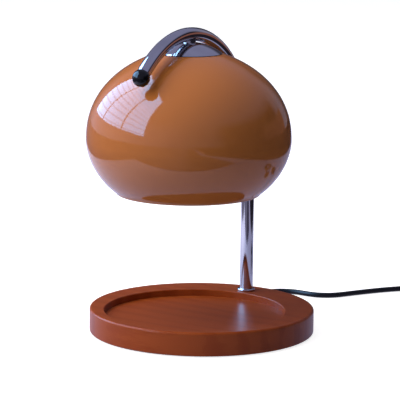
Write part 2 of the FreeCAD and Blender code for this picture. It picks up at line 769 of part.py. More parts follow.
# Lamp cup under the plate, its nut, and the ceramic holder on two screws
cup = turned("cup_body", [
    (stem_diameter / 2 + slip, cup_length - cup_wall), (cup_diameter / 2 - cup_wall, cup_length - cup_wall),
    (cup_diameter / 2 - cup_wall, 0), (cup_diameter / 2, 0), (cup_diameter / 2, cup_length - 1.5),
    (cup_diameter / 2 - 1.5, cup_length), (stem_diameter / 2 + slip, cup_length)])
cup_z = cup_top - cup_length
place(cup, 0, axis_y, cup_z)
cup_holes = []
holder_screws = []
for index, sign in enumerate((-1, 1)):
    at_x = post_circle / 2 * sign
    cup_holes.append(rod("cup_screw_hole_%d" % index, 1.6, 6, at_x, axis_y, cup_top - 4))
    screw = turned("holder_screw_%d" % index, [
        (0, 0), (1.4, 0), (1.4, 9), (2.7, 9), (2.7, 10.2), (1.6, 10.8), (0, 10.8)])
    holder_screws.append(place(screw, at_x, axis_y, cup_top - 9))
node(minus("cup_cut", cup, cup_holes), "lamp_cup")
node(hexagon("cup_nut_body", nut_across, nut_thickness, stem_diameter + slip, 0, axis_y,
             cup_top - cup_wall - nut_thickness), "cup_nut")
node(group("holder_screw_group", holder_screws), "holder_screws")
holder_top = cup_top - cup_wall - post_height
holder_low = holder_top - holder_height
holder = turned("holder_blank", [
    (0, 0), (holder_diameter / 2 - 1, 0), (holder_diameter / 2, 1), (holder_diameter / 2, holder_height),
    (0, holder_height)])
place(holder, 0, axis_y, holder_low)
posts = []
for index, sign in enumerate((-1, 1)):
    posts.append(rod("holder_post_%d" % index, post_diameter / 2, post_height + 1,
                     post_circle / 2 * sign, axis_y, holder_top - 1))
holder_tools = []
for index, sign in enumerate((-1, 1)):
    at_x = post_circle / 2 * sign
    holder_tools.append(rod("post_bore_%d" % index, 1.45, 20, at_x, axis_y, cup_top - 9.2))
    holder_tools.append(rod("pin_bore_%d" % index, pin_head_diameter / 2 + 0.3, pin_length + 1,
                            pin_spacing / 2 * sign, axis_y, holder_low - 0.5))
    holder_tools.append(rod("lead_bore_%d" % index, lead_diameter / 2 + 0.2, 8, lead_offset * sign, axis_y,
                            holder_top - 7))
node(minus("holder_cut", together("holder_sum", [holder] + posts), holder_tools), "lamp_holder")

# Reflector lamp: ceramic foot, two studs, bowl, lens and burner
lamp_top = holder_low - 0.1
lamp_foot = turned("lamp_foot_body", [
    (0, 0), (lamp_base_diameter / 2 - 0.5, 0), (lamp_base_diameter / 2, lamp_base_length - 1.5),
    (lamp_base_diameter / 2 - 1.5, lamp_base_length), (0, lamp_base_length)])
place(lamp_foot, 0, axis_y, lamp_top - lamp_base_length)
burner_hole = rod("burner_hole", capsule_diameter / 2 - 1.3, 4, 0, axis_y, lamp_top - lamp_base_length)
node(minus("lamp_foot_cut", lamp_foot, [burner_hole]), "lamp_foot")
pins = []
for index, sign in enumerate((-1, 1)):
    pin = turned("lamp_pin_%d" % index, [
        (0, 0), (pin_diameter / 2, 0), (pin_diameter / 2, pin_length - 2.8),
        (pin_head_diameter / 2, pin_length - 2.8), (pin_head_diameter / 2, pin_length - 0.6),
        (pin_head_diameter / 2 - 0.5, pin_length), (0, pin_length)])
    pins.append(place(pin, pin_spacing / 2 * sign, axis_y, lamp_top))
node(group("lamp_pin_group", pins), "lamp_pins")
bowl_points = []
bowl_steps = 7
bowl_flare = lamp_rim_diameter / 2 - lamp_base_diameter / 2
for k in range(bowl_steps + 1):
    share = k / bowl_steps
    reach = lamp_base_diameter / 2 + bowl_flare * share ** lamp_bowl_power.value
    bowl_points.append((reach, lamp_bowl_depth * (1 - share)))
bowl_outer = bowl_points[::-1]
bowl_inner = [(r - lamp_wall, h if i else h) for i, (r, h) in enumerate(bowl_points)]
bowl = turned("bowl_body", bowl_outer + bowl_inner)
bowl_z = lamp_top - lamp_base_length - lamp_bowl_depth
node(place(bowl, 0, axis_y, bowl_z), "lamp_bowl")
lens = turned("lens_body", [
    (0, 0), (lamp_rim_diameter / 2 - 0.6, 0), (lamp_rim_diameter / 2, 0.5),
    (lamp_rim_diameter / 2, lens_thickness), (0, lens_thickness)])
node(place(lens, 0, axis_y, bowl_z - lens_thickness), "lamp_lens")
burner_r = capsule_diameter / 2
burner = turned("burner_body", [
    (0, 0), (burner_r * 0.55, 0.6), (burner_r * 0.9, 2.4), (burner_r, 4.6), (burner_r, capsule_length - 2),
    (burner_r - 1.5, capsule_length), (burner_r - 1.5, capsule_length + 3.8), (0, capsule_length + 3.8)])
node(place(burner, 0, axis_y, lamp_top - lamp_base_length - capsule_length), "lamp_burner")

# Gland, inner cord, clamp and terminal block in the base
wall_y = pocket_back
gland_sleeve = gland_y - wall_y
gland_points = [
    (cord_diameter / 2 + 0.05, 0), (gland_body / 2, 0), (gland_body / 2, gland_sleeve + 0.2),
    (gland_flange / 2, gland_sleeve + 0.2), (gland_flange / 2, gland_sleeve + 1.7),
    (gland_flange / 2 - 0.5, gland_sleeve + 2.2), (gland_body / 2, gland_sleeve + 2.2)]
rib_step = (gland_tail - 3.4) / 4
for index in range(4):
    shrink = (gland_body - gland_tip) / 2 * (index / 4)
    rib = gland_body / 2 - shrink
    start = gland_sleeve + 3.4 + rib_step * index
    gland_points += [(rib, start - 0.2), (rib - 0.6, start), (rib - 0.6, start + 0.8), (rib, start + 1.0)]
gland_length = gland_sleeve + gland_tail
gland_points += [(gland_tip / 2, gland_length), (cord_diameter / 2 + 0.05, gland_length)]
gland = turned("gland_body", gland_points)
place(gland, gland_side, wall_y, cord_axis_height, along_y)
node(gland, "cord_gland")
gland_end = wall_y + gland_sleeve + gland_tail
jacket_start = clamp_centre - clamp_width / 2 - 3
cord_inner = rod("cord_inner_body", cord_diameter / 2, gland_end - jacket_start, gland_side, jacket_start,
                 cord_axis_height, along_y)
node(cord_inner, "cord_inner")
clamp_low = cord_axis_height - cord_diameter / 2 - clamp_thickness
saddle_height = pocket_roof - cord_axis_height
saddle_block = block("clamp_seat_blank", clamp_length, clamp_width, saddle_height)
place(saddle_block, gland_side, clamp_centre, cord_axis_height)
clamp_tool = rod("clamp_channel", cord_diameter / 2 + 0.05, clamp_width + 4, gland_side,
                 clamp_centre - clamp_width / 2 - 2, cord_axis_height, along_y)
clamp_screw_bores = []
clamp_screws = []
for index, sign in enumerate((-1, 1)):
    at_x = gland_side + clamp_side * sign
    clamp_screw_bores.append(rod("clamp_seat_bore_%d" % index, 1.25, 12, at_x, clamp_centre, clamp_low - 1))
    screw = turned("clamp_screw_%d" % index, [(0, 0), (2.4, 0), (2.4, 1.4), (1.15, 1.4), (1.15, 6), (0, 6.8)])
    clamp_screws.append(place(screw, at_x, clamp_centre, clamp_low - 1.4))
node(minus("clamp_seat_cut", saddle_block, [clamp_tool] + clamp_screw_bores), "clamp_seat")
bar = block("clamp_bar_blank", clamp_length, clamp_width, clamp_thickness)
place(bar, gland_side, clamp_centre, clamp_low)
bar_bores = [rod("bar_bore_%d" % i, 1.25, 6, gland_side + clamp_side * s, clamp_centre, clamp_low - 1)
             for i, s in enumerate((-1, 1))]
node(minus("clamp_bar_cut", bar, bar_bores), "clamp_bar")
node(group("clamp_screw_group", clamp_screws), "clamp_screws")

terminal_low = pocket_roof - terminal_drop
terminal_z = terminal_low + 3.2
terminal = block("terminal_blank", terminal_width, terminal_depth, terminal_drop)
place(terminal, 0, terminal_middle, terminal_low)
terminal_tools = [rod("block_screw_way", 1.25, 20, 0, terminal_middle, terminal_low - 5)]
terminal_tools.append(rod("block_screw_sink", 2.5, 2, 0, terminal_middle, terminal_low - 0.2))
terminal_screws = []
for index, sign in enumerate((-1, 1)):
    at_x = lead_offset * sign * 1.9
    terminal_tools.append(rod("wire_way_%d" % index, lead_diameter / 2 + 0.25, terminal_depth + 2, at_x,
                              terminal_middle - terminal_depth / 2 - 1, terminal_z, along_y))
    for step, shift in enumerate((-3.2, 3.2)):
        terminal_tools.append(rod("screw_way_%d%d" % (index, step), 1.25, 3.5, at_x,
                                  terminal_middle + shift, terminal_low - 1))
        screw = turned("terminal_screw_%d%d" % (index, step), [(0, 0), (1.1, 0), (1.1, 2), (0, 2)])
        terminal_screws.append(place(screw, at_x, terminal_middle + shift, terminal_low + 0.1))
fixing = turned("terminal_fixing", [(0, 0), (2.2, 0), (2.2, 1.3), (1.1, 1.3), (1.1, 9), (0, 9.6)])
terminal_screws.append(place(fixing, 0, terminal_middle, terminal_low + 0.3))
node(minus("terminal_cut", terminal, terminal_tools), "terminal_block")
node(group("terminal_screw_group", terminal_screws), "terminal_screws")

# Leads: two from the inner cord to the block, two from the block up the tube
lead_d = lead_diameter.value
lead_x = (lead_offset * 1.9).value
front_face = (terminal_middle - terminal_depth / 2).value
back_face = (terminal_middle + terminal_depth / 2).value
jacket_y = jacket_start.value
gland_x = gland_side.value
lead_z = terminal_z.value
cord_z = cord_axis_height.value
for index, sign in enumerate((-1, 1)):
    side = gland_x + sign * 1.2
    low_y = front_face - 7 - (1 - sign) * 1.6
    route = [(side, jacket_y, cord_z), (side, jacket_y - 8, (cord_z + lead_z) / 2), (side, low_y, lead_z),
             (-sign * lead_x, low_y, lead_z), (-sign * lead_x, front_face + 3, lead_z)]
    wire, radii = seg(route)
    node(piped("mains_lead_%d" % (index + 1), wire, lead_d), "mains_lead_%d" % (index + 1))

tube_x = lead_offset.value
small = 5.0
pole_y = pole_back.value
base_up = pole_top.value
arc_y = bend_y.value
arc_z = bend_z.value
front_r = front_bend.value
axis = axis_y.value
inner_y = axis + small
inner_z = arc_z + math.sqrt((front_r - small) ** 2 - (inner_y - arc_y) ** 2)
out = V(0, inner_y - arc_y, inner_z - arc_z)
out.normalize()
leave = V(0, arc_y, arc_z) + out * front_r
rear_r = rear_bend.value
rear_mid = V(0, pole_y - rear_r + rear_r * math.cos(A / 2), base_up + rear_r * math.sin(A / 2))
rear_end = V(0, arc_y + front_r * math.cos(A), arc_z + front_r * math.sin(A))
leave_angle = math.atan2(out.z, out.y)
mid_angle = (A + leave_angle) / 2
front_mid = V(0, arc_y + front_r * math.cos(mid_angle), arc_z + front_r * math.sin(mid_angle))
turn_angle = (leave_angle + math.pi) / 2
turn_mid = V(0, inner_y, inner_z) + V(0, math.cos(turn_angle), math.sin(turn_angle)) * small
holder_z = holder_top.value - 5
for index, sign in enumerate((-1, 1)):
    shift = V(sign * tube_x, 0, 0)
    foot = V(sign * tube_x, pole_y, 30)
    low_wire, low_radii = seg([
        (sign * lead_x, back_face - 3, lead_z), (sign * lead_x, back_face + 2, lead_z),
        (sign * (lead_x + tube_x) / 2, back_face + 6.5, lead_z - 2.0),
        (sign * tube_x, pole_y, lead_z - 2.6), tuple(foot)])
    runs = [
        Part.LineSegment(foot, V(0, pole_y, base_up) + shift),
        Part.Arc(V(0, pole_y, base_up) + shift, rear_mid + shift, rear_end + shift),
        Part.Arc(rear_end + shift, front_mid + shift, leave + shift),
        Part.Arc(leave + shift, turn_mid + shift, V(0, axis, inner_z) + shift),
        Part.LineSegment(V(0, axis, inner_z) + shift, V(0, axis, holder_z) + shift)]
    wire = Part.Wire(low_wire.Edges + [r.toShape() for r in runs])
    node(piped("lamp_lead_%d" % (index + 1), wire, lead_d), "lamp_lead_%d" % (index + 1))

# Cord over the table: points chosen by hand, then the dimmer, the coil and the plug
cord_d = cord_diameter.value
rest_z = cord_d / 2 + 0.05
exit_y = gland_end.value
CORD_ROUTE = [
    (gland_x, exit_y, cord_z), (gland_x, exit_y + 10, cord_z), (-22.3, exit_y + 22, 5.2),
    (-25.2, exit_y + 37.6, rest_z), (-18.1, exit_y + 53.1, rest_z), (-2.6, exit_y + 61.1, rest_z),
    (19, exit_y + 58.5, rest_z), (30.6, exit_y + 61.9, rest_z), (40, exit_y + 69.6, rest_z),
    (50.7, exit_y + 89.9, rest_z), (66, exit_y + 114.3, rest_z), (79, exit_y + 130.3, rest_z),
    (84.9, exit_y + 135.0, 2.9), (91.7, exit_y + 138.4, 4.5), (99.1, exit_y + 140.3, 6.6)]
way = -10.0
heading = V(math.cos(math.radians(way)), math.sin(math.radians(way)), 0)
left = V(-heading.y, heading.x, 0)
flat_turn = FreeCAD.Rotation(V(0, 0, 1), way)
body_z = dimmer_height.value / 2
dimmer_start = V(117.5, exit_y + 138.7, body_z)
wire, radii = seg(CORD_ROUTE + [tuple(dimmer_start - heading * 11), tuple(dimmer_start)])
print("cord radii", [round(r, 1) for r in radii], "least", round(min(radii) / cord_d, 1), "diameters")
node(piped("cord_run", wire, cord_d), "cord_run")
run_length = wire.Length
reach = relief_length.value
half = dimmer_length.value / 2
dimmer_mid = dimmer_start + heading * (reach + half)


def local(origin, along, aside, up=0.0):
    """A point given along and across the dimmer's or plug's own axis."""
    return origin + heading * along + left * aside + V(0, 0, up)


# Dimmer: two shells, a dial on a stem, the control inside and three screws
half_height = dimmer_height / 2
deck = V(dimmer_mid.x, dimmer_mid.y, 0)
lower = block("dimmer_low_blank", dimmer_length, dimmer_width, half_height - 0.1, dimmer_corner)
place(lower, deck.x, deck.y, 0, flat_turn)
upper = block("dimmer_up_blank", dimmer_length, dimmer_width, half_height, dimmer_corner, dimmer_edge)
place(upper, deck.x, deck.y, half_height, flat_turn)
hollow_low = block("dimmer_low_hollow", dimmer_length - dimmer_wall * 2, dimmer_width - dimmer_wall * 2,
                   half_height, dimmer_corner - dimmer_wall)
place(hollow_low, deck.x, deck.y, dimmer_wall, flat_turn)
hollow_up = block("dimmer_up_hollow", dimmer_length - dimmer_wall * 2, dimmer_width - dimmer_wall * 2,
                  half_height - dimmer_wall, dimmer_corner - dimmer_wall)
place(hollow_up, deck.x, deck.y, half_height, flat_turn)
dial_well = rod("dial_well", dial_diameter / 2 + run_gap, 3, deck.x, deck.y, dimmer_height - 1.0)
dial_way = rod("dial_way", dial_stem / 2 + 0.05, 20, deck.x, deck.y, 6)
dimmer_spots = [(-21.0, -6.8), (21.0, -6.8), (-21.0, 6.8), (21.0, 6.8)]
low_tools = [hollow_low]
bosses = []
dimmer_screws = []
for index, spot in enumerate(dimmer_spots):
    at = local(deck, spot[0], spot[1])
    low_tools.append(rod("dimmer_low_bore_%d" % index, 1.5, 12, at.x, at.y, -1))
    low_tools.append(rod("dimmer_low_sink_%d" % index, 2.7, 1.2, at.x, at.y, -0.1))
    low_post = rod("dimmer_low_post_%d" % index, 3.0, half_height - 0.1 - dimmer_wall + 0.5, at.x, at.y,
                   dimmer_wall - 0.5)
    up_post = rod("dimmer_up_post_%d" % index, 3.0, half_height - dimmer_wall + 0.5, at.x, at.y, half_height)
    up_bore = rod("dimmer_up_bore_%d" % index, 1.2, 4.6, at.x, at.y, half_height - 0.1)
    bosses.append((low_post, up_post, up_bore))
    screw = turned("dimmer_screw_%d" % index,
                   [(0, 0), (2.5, 0), (2.5, 0.8), (1.15, 0.8), (1.15, 11.2), (0, 11.8)])
    dimmer_screws.append(place(screw, at.x, at.y, 0.15, flat_turn))
lower_shell = minus("dimmer_low_open", lower, [hollow_low])
lower_sum = together("dimmer_low_sum", [lower_shell] + [b[0] for b in bosses])
node(minus("dimmer_low_cut", lower_sum, low_tools[1:]), "dimmer_shell_lower")
upper_shell = minus("dimmer_up_open", upper, [hollow_up])
upper_sum = together("dimmer_up_sum", [upper_shell] + [b[1] for b in bosses])
node(minus("dimmer_up_cut", upper_sum, [b[2] for b in bosses] + [dial_well, dial_way]), "dimmer_shell_upper")
node(group("dimmer_screw_group", dimmer_screws), "dimmer_screws")
dial_floor = dimmer_height - 1.0 + run_gap
control_top = dimmer_height - dimmer_wall - 1.4
stem_rise = dial_floor - control_top + 2
dial = turned("dial_blank", [
    (0, 0), (dial_stem / 2, 0), (dial_stem / 2, stem_rise), (dial_diameter / 2, stem_rise),
    (dial_diameter / 2, stem_rise + dial_height - 0.8), (dial_diameter / 2 - 0.8, stem_rise + dial_height),
    (0, stem_rise + dial_height)])
place(dial, deck.x, deck.y, control_top - 2)
grips = []
grip_count = 16
for index in range(grip_count):
    angle = 2 * math.pi * (index + 0.5) / grip_count
    spot = dial_diameter.value / 2 + 0.35
    grips.append(rod("dial_grip_%d" % index, 0.9, dial_height + 2, deck.x + spot * math.cos(angle),
                     deck.y + spot * math.sin(angle), dial_floor - 0.5))
pointer = slab("dial_mark", 5.0, 1.0, 1.0, local(deck, 3.2, -0.5).x, local(deck, 3.2, -0.5).y,
               dial_floor + dial_height - 0.5, flat_turn)
node(minus("dial_cut", dial, grips + [pointer]), "dimmer_dial")
board = block("dimmer_board_blank", dimmer_length - dimmer_wall * 2 - 16,
              dimmer_width - dimmer_wall * 2 - 2, 1.6)
place(board, deck.x, deck.y, dimmer_wall + 1.7, flat_turn)
board_posts = [rod("board_way_%d" % i, 3.3, 6, local(deck, s[0], s[1]).x, local(deck, s[0], s[1]).y, 1)
               for i, s in enumerate(dimmer_spots)]
board_legs = [rod("board_leg_%d" % i, 1.2, 1.7, local(deck, s, 0).x, local(deck, s, 0).y, dimmer_wall)
              for i, s in enumerate((-12, 12))]
board_cut = minus("dimmer_board_cut", board, board_posts)
node(together("dimmer_board_sum", [board_cut] + board_legs), "dimmer_board")
control = block("control_blank", 14, 14, control_top - dimmer_wall - 3.3)
place(control, deck.x, deck.y, dimmer_wall + 3.3, flat_turn)
control_way = rod("control_way", dial_stem / 2 + 0.05, 12, deck.x, deck.y, control_top - 2.5)
node(minus("control_cut", control, [control_way]), "dimmer_control")
reliefs = []
for index, sign in enumerate((-1, 1)):
    aim = FreeCAD.Rotation(V(0, 0, 1), heading * sign)
    root_at = deck + heading * (sign * half) + V(0, 0, body_z)
    sleeve = turned("relief_%d" % index, [
        (0, 0), (relief_root / 2, 0), (relief_root / 2, 1.2), (relief_tip / 2, relief_length), (0, relief_length)])
    reliefs.append(place(sleeve, root_at.x, root_at.y, root_at.z, aim))
node(group("relief_group", reliefs), "dimmer_reliefs")
print("dimmer from", dimmer_start, "to", dimmer_mid + heading * (half + reach))

# Link from the dimmer down to the coil
link_start = dimmer_mid + heading * (half + reach)
coil_start = local(link_start, 47, 0, rest_z - body_z)
link_route = [link_start, local(link_start, 9, 0), local(link_start, 21, -0.5, -3.0),
              local(link_start, 34, 0, rest_z - body_z), coil_start]
wire, radii = seg([tuple(p) for p in link_route])
print("link radii", [round(r, 1) for r in radii])
node(piped("cord_link", wire, cord_d), "cord_link")
link_length = wire.Length

# Coil: spirals in on the table, climbs one layer where it reverses, spirals out on top
coil_turns = 3
pitch = cord_d * 1.16
layer_rise = cord_d * 1.13
mid_radius = cord_d * 5.5
outer_radius = mid_radius + pitch * coil_turns / 2
inner_radius = outer_radius - pitch * coil_turns
tail = cord_d
coil_centre = coil_start + heading * tail - left * outer_radius
first_angle = math.atan2(left.y, left.x)
spin_in = 2 * math.pi * coil_turns
spin_all = 2 * spin_in + math.pi


def coil_point(spin):
    """Centre line of the coil after a given spin in radians, turning clockwise."""
    if spin <= spin_in:
        radius_now = outer_radius - pitch * spin / (2 * math.pi)
        height = 0.0
    elif spin <= spin_in + math.pi:
        over = spin - spin_in
        radius_now = inner_radius - pitch / (2 * math.pi) * (over - over * over / math.pi)
        share = over / math.pi
        height = layer_rise * share * share * (3 - 2 * share)
    else:
        over = spin - spin_in - math.pi
        radius_now = inner_radius + pitch * over / (2 * math.pi)
        height = layer_rise
    angle = first_angle - spin
    return coil_centre + V(radius_now * math.cos(angle), radius_now * math.sin(angle), height)


def coil_way(spin):
    step = 1e-4
    low = max(0.0, spin - step)
    high = min(spin_all, spin + step)
    ahead = coil_point(high) - coil_point(low)
    return ahead.normalize()


def biarc(p0, t0, p1, t1):
    """Two tangent arcs between two points with given directions."""
    gap = p1 - p0
    total = t0 + t1
    a = 2 * (1 - t0.dot(t1))
    b = 2 * gap.dot(total)
    c = -gap.dot(gap)
    if abs(a) < 1e-12:
        reach_now = -c / b
    else:
        reach_now = (-b + math.sqrt(b * b - 4 * a * c)) / (2 * a)
    q0 = p0 + t0 * reach_now
    q1 = p1 - t1 * reach_now
    joint_now = (q0 + q1) / 2
    made = []
    for start, knee_now, end in ((p0, q0, joint_now), (joint_now, q1, p1)):
        to_start = start - knee_now
        to_end = end - knee_now
        size_now = to_start.Length
        half_angle = to_start.getAngle(to_end) / 2
        inward = (to_start + to_end).normalize()
        radius_now = size_now * math.tan(half_angle)
        centre_now = knee_now + inward * (size_now / math.cos(half_angle))
        made.append(Part.Arc(start, centre_now - inward * radius_now, end).toShape())
    return made


coil_edges = [Part.LineSegment(coil_start, coil_point(0)).toShape()]
quarter = math.pi / 2
steps = int(round(spin_all / quarter))
for k in range(steps):
    a = k * quarter
    b = a + quarter
    dir_a = heading if k == 0 else coil_way(a)
    dir_b = coil_way(b)
    if k == steps - 1:
        dir_b = -heading
    coil_edges += biarc(coil_point(a), dir_a, coil_point(b), dir_b)
coil_last = coil_point(spin_all)
coil_edges.append(Part.LineSegment(coil_last, coil_last - heading * tail).toShape())
coil_wire = Part.Wire(coil_edges)
samples_on_coil = coil_wire.discretize(Distance=2.0)
least = 1e9
for i in range(0, len(samples_on_coil), 1):
    for j in range(i + 8, len(samples_on_coil)):
        gap = (samples_on_coil[i] - samples_on_coil[j]).Length
        if gap < least:
            least = gap
print("coil least gap to itself %.2f, %d turns in all, radii %.1f to %.1f"
      % (least - cord_d, 2 * coil_turns, inner_radius, outer_radius))
node(piped("cord_coil", coil_wire, cord_d), "cord_coil")
coil_length = coil_wire.Length

# Short tail from the coil to the plug
tail_from = coil_last - heading * tail
plug_z = plug_height.value / 2 + 0.1
tail_drop = plug_z - tail_from.z
tail_route = [tail_from, local(tail_from, -9, 0), local(tail_from, -19, -1.4, tail_drop / 2),
              local(tail_from, -29, -2.2, tail_drop), local(tail_from, -39, -2.2, tail_drop)]
wire, radii = seg([tuple(p) for p in tail_route])
print("tail radii", [round(r, 1) for r in radii])
node(piped("cord_tail", wire, cord_d), "cord_tail")
tail_length = wire.Length

# Plug: moulded body with a sleeve, and two flat blades with holes
plug_from = tail_route[-1]
plug_turn = FreeCAD.Rotation(V(0, 0, 1), way + 180)
plug_aim = FreeCAD.Rotation(V(0, 0, 1), -heading)
plug_sleeve = turned("plug_sleeve", [
    (0, 0), (relief_tip / 2, 0), (relief_root / 2, 9), (relief_root / 2 + 1.5, 16), (0, 16)])
place(plug_sleeve, plug_from.x, plug_from.y, plug_z, plug_aim)
plug_mid = plug_from - heading * (9 + plug_length.value / 2)
plug_block = block("plug_block", plug_length, plug_width, plug_height, dimmer_corner, dimmer_edge)
place(plug_block, plug_mid.x, plug_mid.y, plug_z - plug_height / 2, plug_turn)
print("plug underside at", plug_z - plug_height.value / 2)
blade_tools = []
blades = []
face_at = plug_mid - heading * (plug_length.value / 2)
for index, sign in enumerate((-1, 1)):
    root_at = face_at + left * (sign * blade_spacing.value / 2) + heading * 6
    corner_at = root_at + left * (blade_thickness.value / 2)
    blade_tools.append(slab("blade_way_%d" % index, blade_length + 10, blade_thickness, blade_width,
                            corner_at.x, corner_at.y, plug_z - blade_width / 2, plug_turn))
    blade = slab("blade_%d" % index, blade_length + 6, blade_thickness, blade_width, corner_at.x, corner_at.y,
                 plug_z - blade_width / 2, plug_turn)
    hole_at = face_at - heading * (blade_length.value - 4) + left * 30
    hole_turn = FreeCAD.Rotation(V(0, 0, 1), -left)
    bore = rod("blade_hole_%d" % index, 1.6, 60, hole_at.x, hole_at.y, plug_z, hole_turn)
    blades.append(minus("blade_cut_%d" % index, blade, [bore]))
node(minus("plug_cut", together("plug_sum", [plug_block, plug_sleeve]), blade_tools), "plug_body")
node(group("blade_group", blades), "plug_blades")
whole = run_length + link_length + coil_length + tail_length + 2 * (reach + half)
print("cord length run %.0f link %.0f coil %.0f tail %.0f with dimmer %.0f"
      % (run_length, link_length, coil_length, tail_length, whole))

# Every object and every shape is checked before anything is written
doc.recompute()
bad = [o.Name for o in doc.Objects if "Invalid" in o.State or "Error" in o.State]
if bad:
    raise RuntimeError("objects failed: %s" % bad)
os.makedirs("parts", exist_ok=True)
for item in nodes:
    shape = item.Shape
    if shape.isNull() or not shape.isValid() or not shape.Solids:
        raise RuntimeError("bad shape: %s" % item.Label)
for item in nodes:
    item.Shape.exportStep("parts/%s.step" % item.Label)
    box = item.Shape.BoundBox
    print("%-20s solids %2d volume %10.1f  x %.1f %.1f  y %.1f %.1f  z %.1f %.1f" % (
        item.Label, len(item.Shape.Solids), item.Shape.Volume,
        box.XMin, box.XMax, box.YMin, box.YMax, box.ZMin, box.ZMax))
print("nodes", len(nodes))
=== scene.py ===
"""Arched table lamp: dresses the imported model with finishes, a free cord, a floor, light and a camera.

Metres throughout, in the model's own frame: the origin is at the centre of the base on the
resting plane, +Z is up and the upright tube stands towards +Y. Angles are in degrees in the
pieces, and in radians in the camera and the materials.
"""

import logging
import math
from dataclasses import dataclass, field
from enum import Enum
from typing import Dict, List, NamedTuple, Optional, Sequence, Tuple, Union

import bpy
from mathutils import Matrix, Vector

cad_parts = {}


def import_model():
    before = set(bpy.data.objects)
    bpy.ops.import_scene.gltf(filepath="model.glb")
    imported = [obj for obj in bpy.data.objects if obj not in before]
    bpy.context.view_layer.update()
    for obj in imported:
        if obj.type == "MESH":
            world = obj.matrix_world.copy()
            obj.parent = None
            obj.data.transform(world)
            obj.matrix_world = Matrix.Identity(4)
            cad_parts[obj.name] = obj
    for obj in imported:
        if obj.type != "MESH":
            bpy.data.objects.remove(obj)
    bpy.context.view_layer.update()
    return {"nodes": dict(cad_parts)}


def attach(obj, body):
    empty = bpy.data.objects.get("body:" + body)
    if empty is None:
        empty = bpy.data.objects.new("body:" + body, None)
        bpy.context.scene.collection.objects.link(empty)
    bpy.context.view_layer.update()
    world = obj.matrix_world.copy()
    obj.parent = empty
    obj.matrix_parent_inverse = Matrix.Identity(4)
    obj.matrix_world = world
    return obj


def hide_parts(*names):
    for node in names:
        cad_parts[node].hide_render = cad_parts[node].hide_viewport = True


log = logging.getLogger("lamp")
Colour = Tuple[float, float, float]
Point = Tuple[float, float, float]
Ring = Tuple[float, float]
Socket = bpy.types.NodeSocket

LAMP_BODY = "lamp"
SHADE_AXIS = (0.0, -0.025)
CAMERA_TURN = 0.5387
WELD_DISTANCE = 0.000002
SAME_SIZE = 1e-9
DRIFT_STOPS = (0.3, 0.7)
# A Mix node's sockets for its two colours and for its mixed colour.
MIX_COLOURS = (6, 7)
MIX_RESULT = 2


class Look(Enum):
    """The finishes, each by its material's name."""

    WOOD = "stained_wood"
    GLASS = "shade_glass"
    CHROME = "tube_chrome"
    RUBBER = "foot_rubber"
    COVER = "cover_steel"
    STEEL = "screw_steel"
    BALL = "ball_black"
    BRASS = "stem_brass"
    GASKET = "gasket_rubber"
    PLATE = "plate_steel"
    HOLDER = "holder_ceramic"
    CERAMIC = "lamp_ceramic"
    PIN = "pin_metal"
    MIRROR = "bowl_mirror"
    LENS = "lens_glass"
    BURNER = "burner_glass"
    CORD = "cord_black"
    CLAMP = "clamp_plastic"
    BROWN_LEAD = "lead_brown"
    BLUE_LEAD = "lead_blue"
    SHELL = "switch_plastic"
    DIAL = "dial_plastic"
    BOARD = "board_resin"
    CONTROL = "control_plastic"
    BLADE = "blade_brass"


class Noise(NamedTuple):
    """A noise pattern's scale, detail and roughness."""

    scale: float
    detail: float
    roughness: float = 0.5


def clear_selection() -> None:
    """Leave edit mode and deselect every object."""
    if bpy.context.object is not None and bpy.context.object.mode != "OBJECT":
        bpy.ops.object.mode_set(mode="OBJECT")
    bpy.ops.object.select_all(action="DESELECT")


def settle(piece: bpy.types.Object, name: str) -> bpy.types.Object:
    """Name a piece and move its place into its mesh.

    Args:
        piece: the object to finish.
        name: its name in the scene.

    Returns:
        The same object, at the origin, unturned and unscaled.
    """
    clear_selection()
    piece.select_set(True)
    bpy.context.view_layer.objects.active = piece
    bpy.ops.object.transform_apply(location=True, rotation=True, scale=True)
    piece.name = name
    piece.data.name = name
    return piece


def point_outwards() -> None:
    """Select the whole mesh in edit mode and turn its faces outwards."""
    bpy.ops.mesh.select_all(action="SELECT")
    bpy.ops.mesh.normals_make_consistent(inside=False)


def extend(rings: Sequence[Ring], centre: Tuple[float, float]) -> None:
    """Grow the selected ring along a turned profile, in edit mode.

    Args:
        rings: radius and height of each ring, the first one already there.
        centre: the axis in X and Y.
    """
    for (r0, z0), (r1, z1) in zip(rings, rings[1:]):
        bpy.ops.mesh.extrude_region_move(TRANSFORM_OT_translate={"value": (0.0, 0.0, z1 - z0)})
        share = r1 / r0
        if abs(share - 1.0) > SAME_SIZE:
            bpy.ops.transform.resize(value=(share, share, 1.0), center_override=(*centre, z1))


def turned(name: str, rings: Sequence[Ring], centre: Tuple[float, float], segments: int,
           smooth_below: float) -> bpy.types.Object:
    """Turn a closed profile about an upright axis.

    Args:
        name: the piece's name.
        rings: radius and height of each ring, in order round the profile.
        centre: the axis in X and Y.
        segments: how many sides the rings have.
        smooth_below: edges flatter than this many degrees are shaded smooth.

    Returns:
        The finished object.
    """
    clear_selection()
    bpy.ops.mesh.primitive_circle_add(vertices=segments, radius=rings[0][0], fill_type="NOTHING",
                                      location=(*centre, rings[0][1]))
    bpy.ops.object.mode_set(mode="EDIT")
    bpy.ops.mesh.select_all(action="SELECT")
    extend(list(rings) + [rings[0]], centre)
    bpy.ops.mesh.select_mode(type="VERT")
    bpy.ops.mesh.select_all(action="SELECT")
    bpy.ops.mesh.remove_doubles(threshold=WELD_DISTANCE)
    point_outwards()
    bpy.ops.object.mode_set(mode="OBJECT")
    piece = settle(bpy.context.object, name)
    bpy.ops.object.shade_smooth_by_angle(angle=math.radians(smooth_below))
    return piece


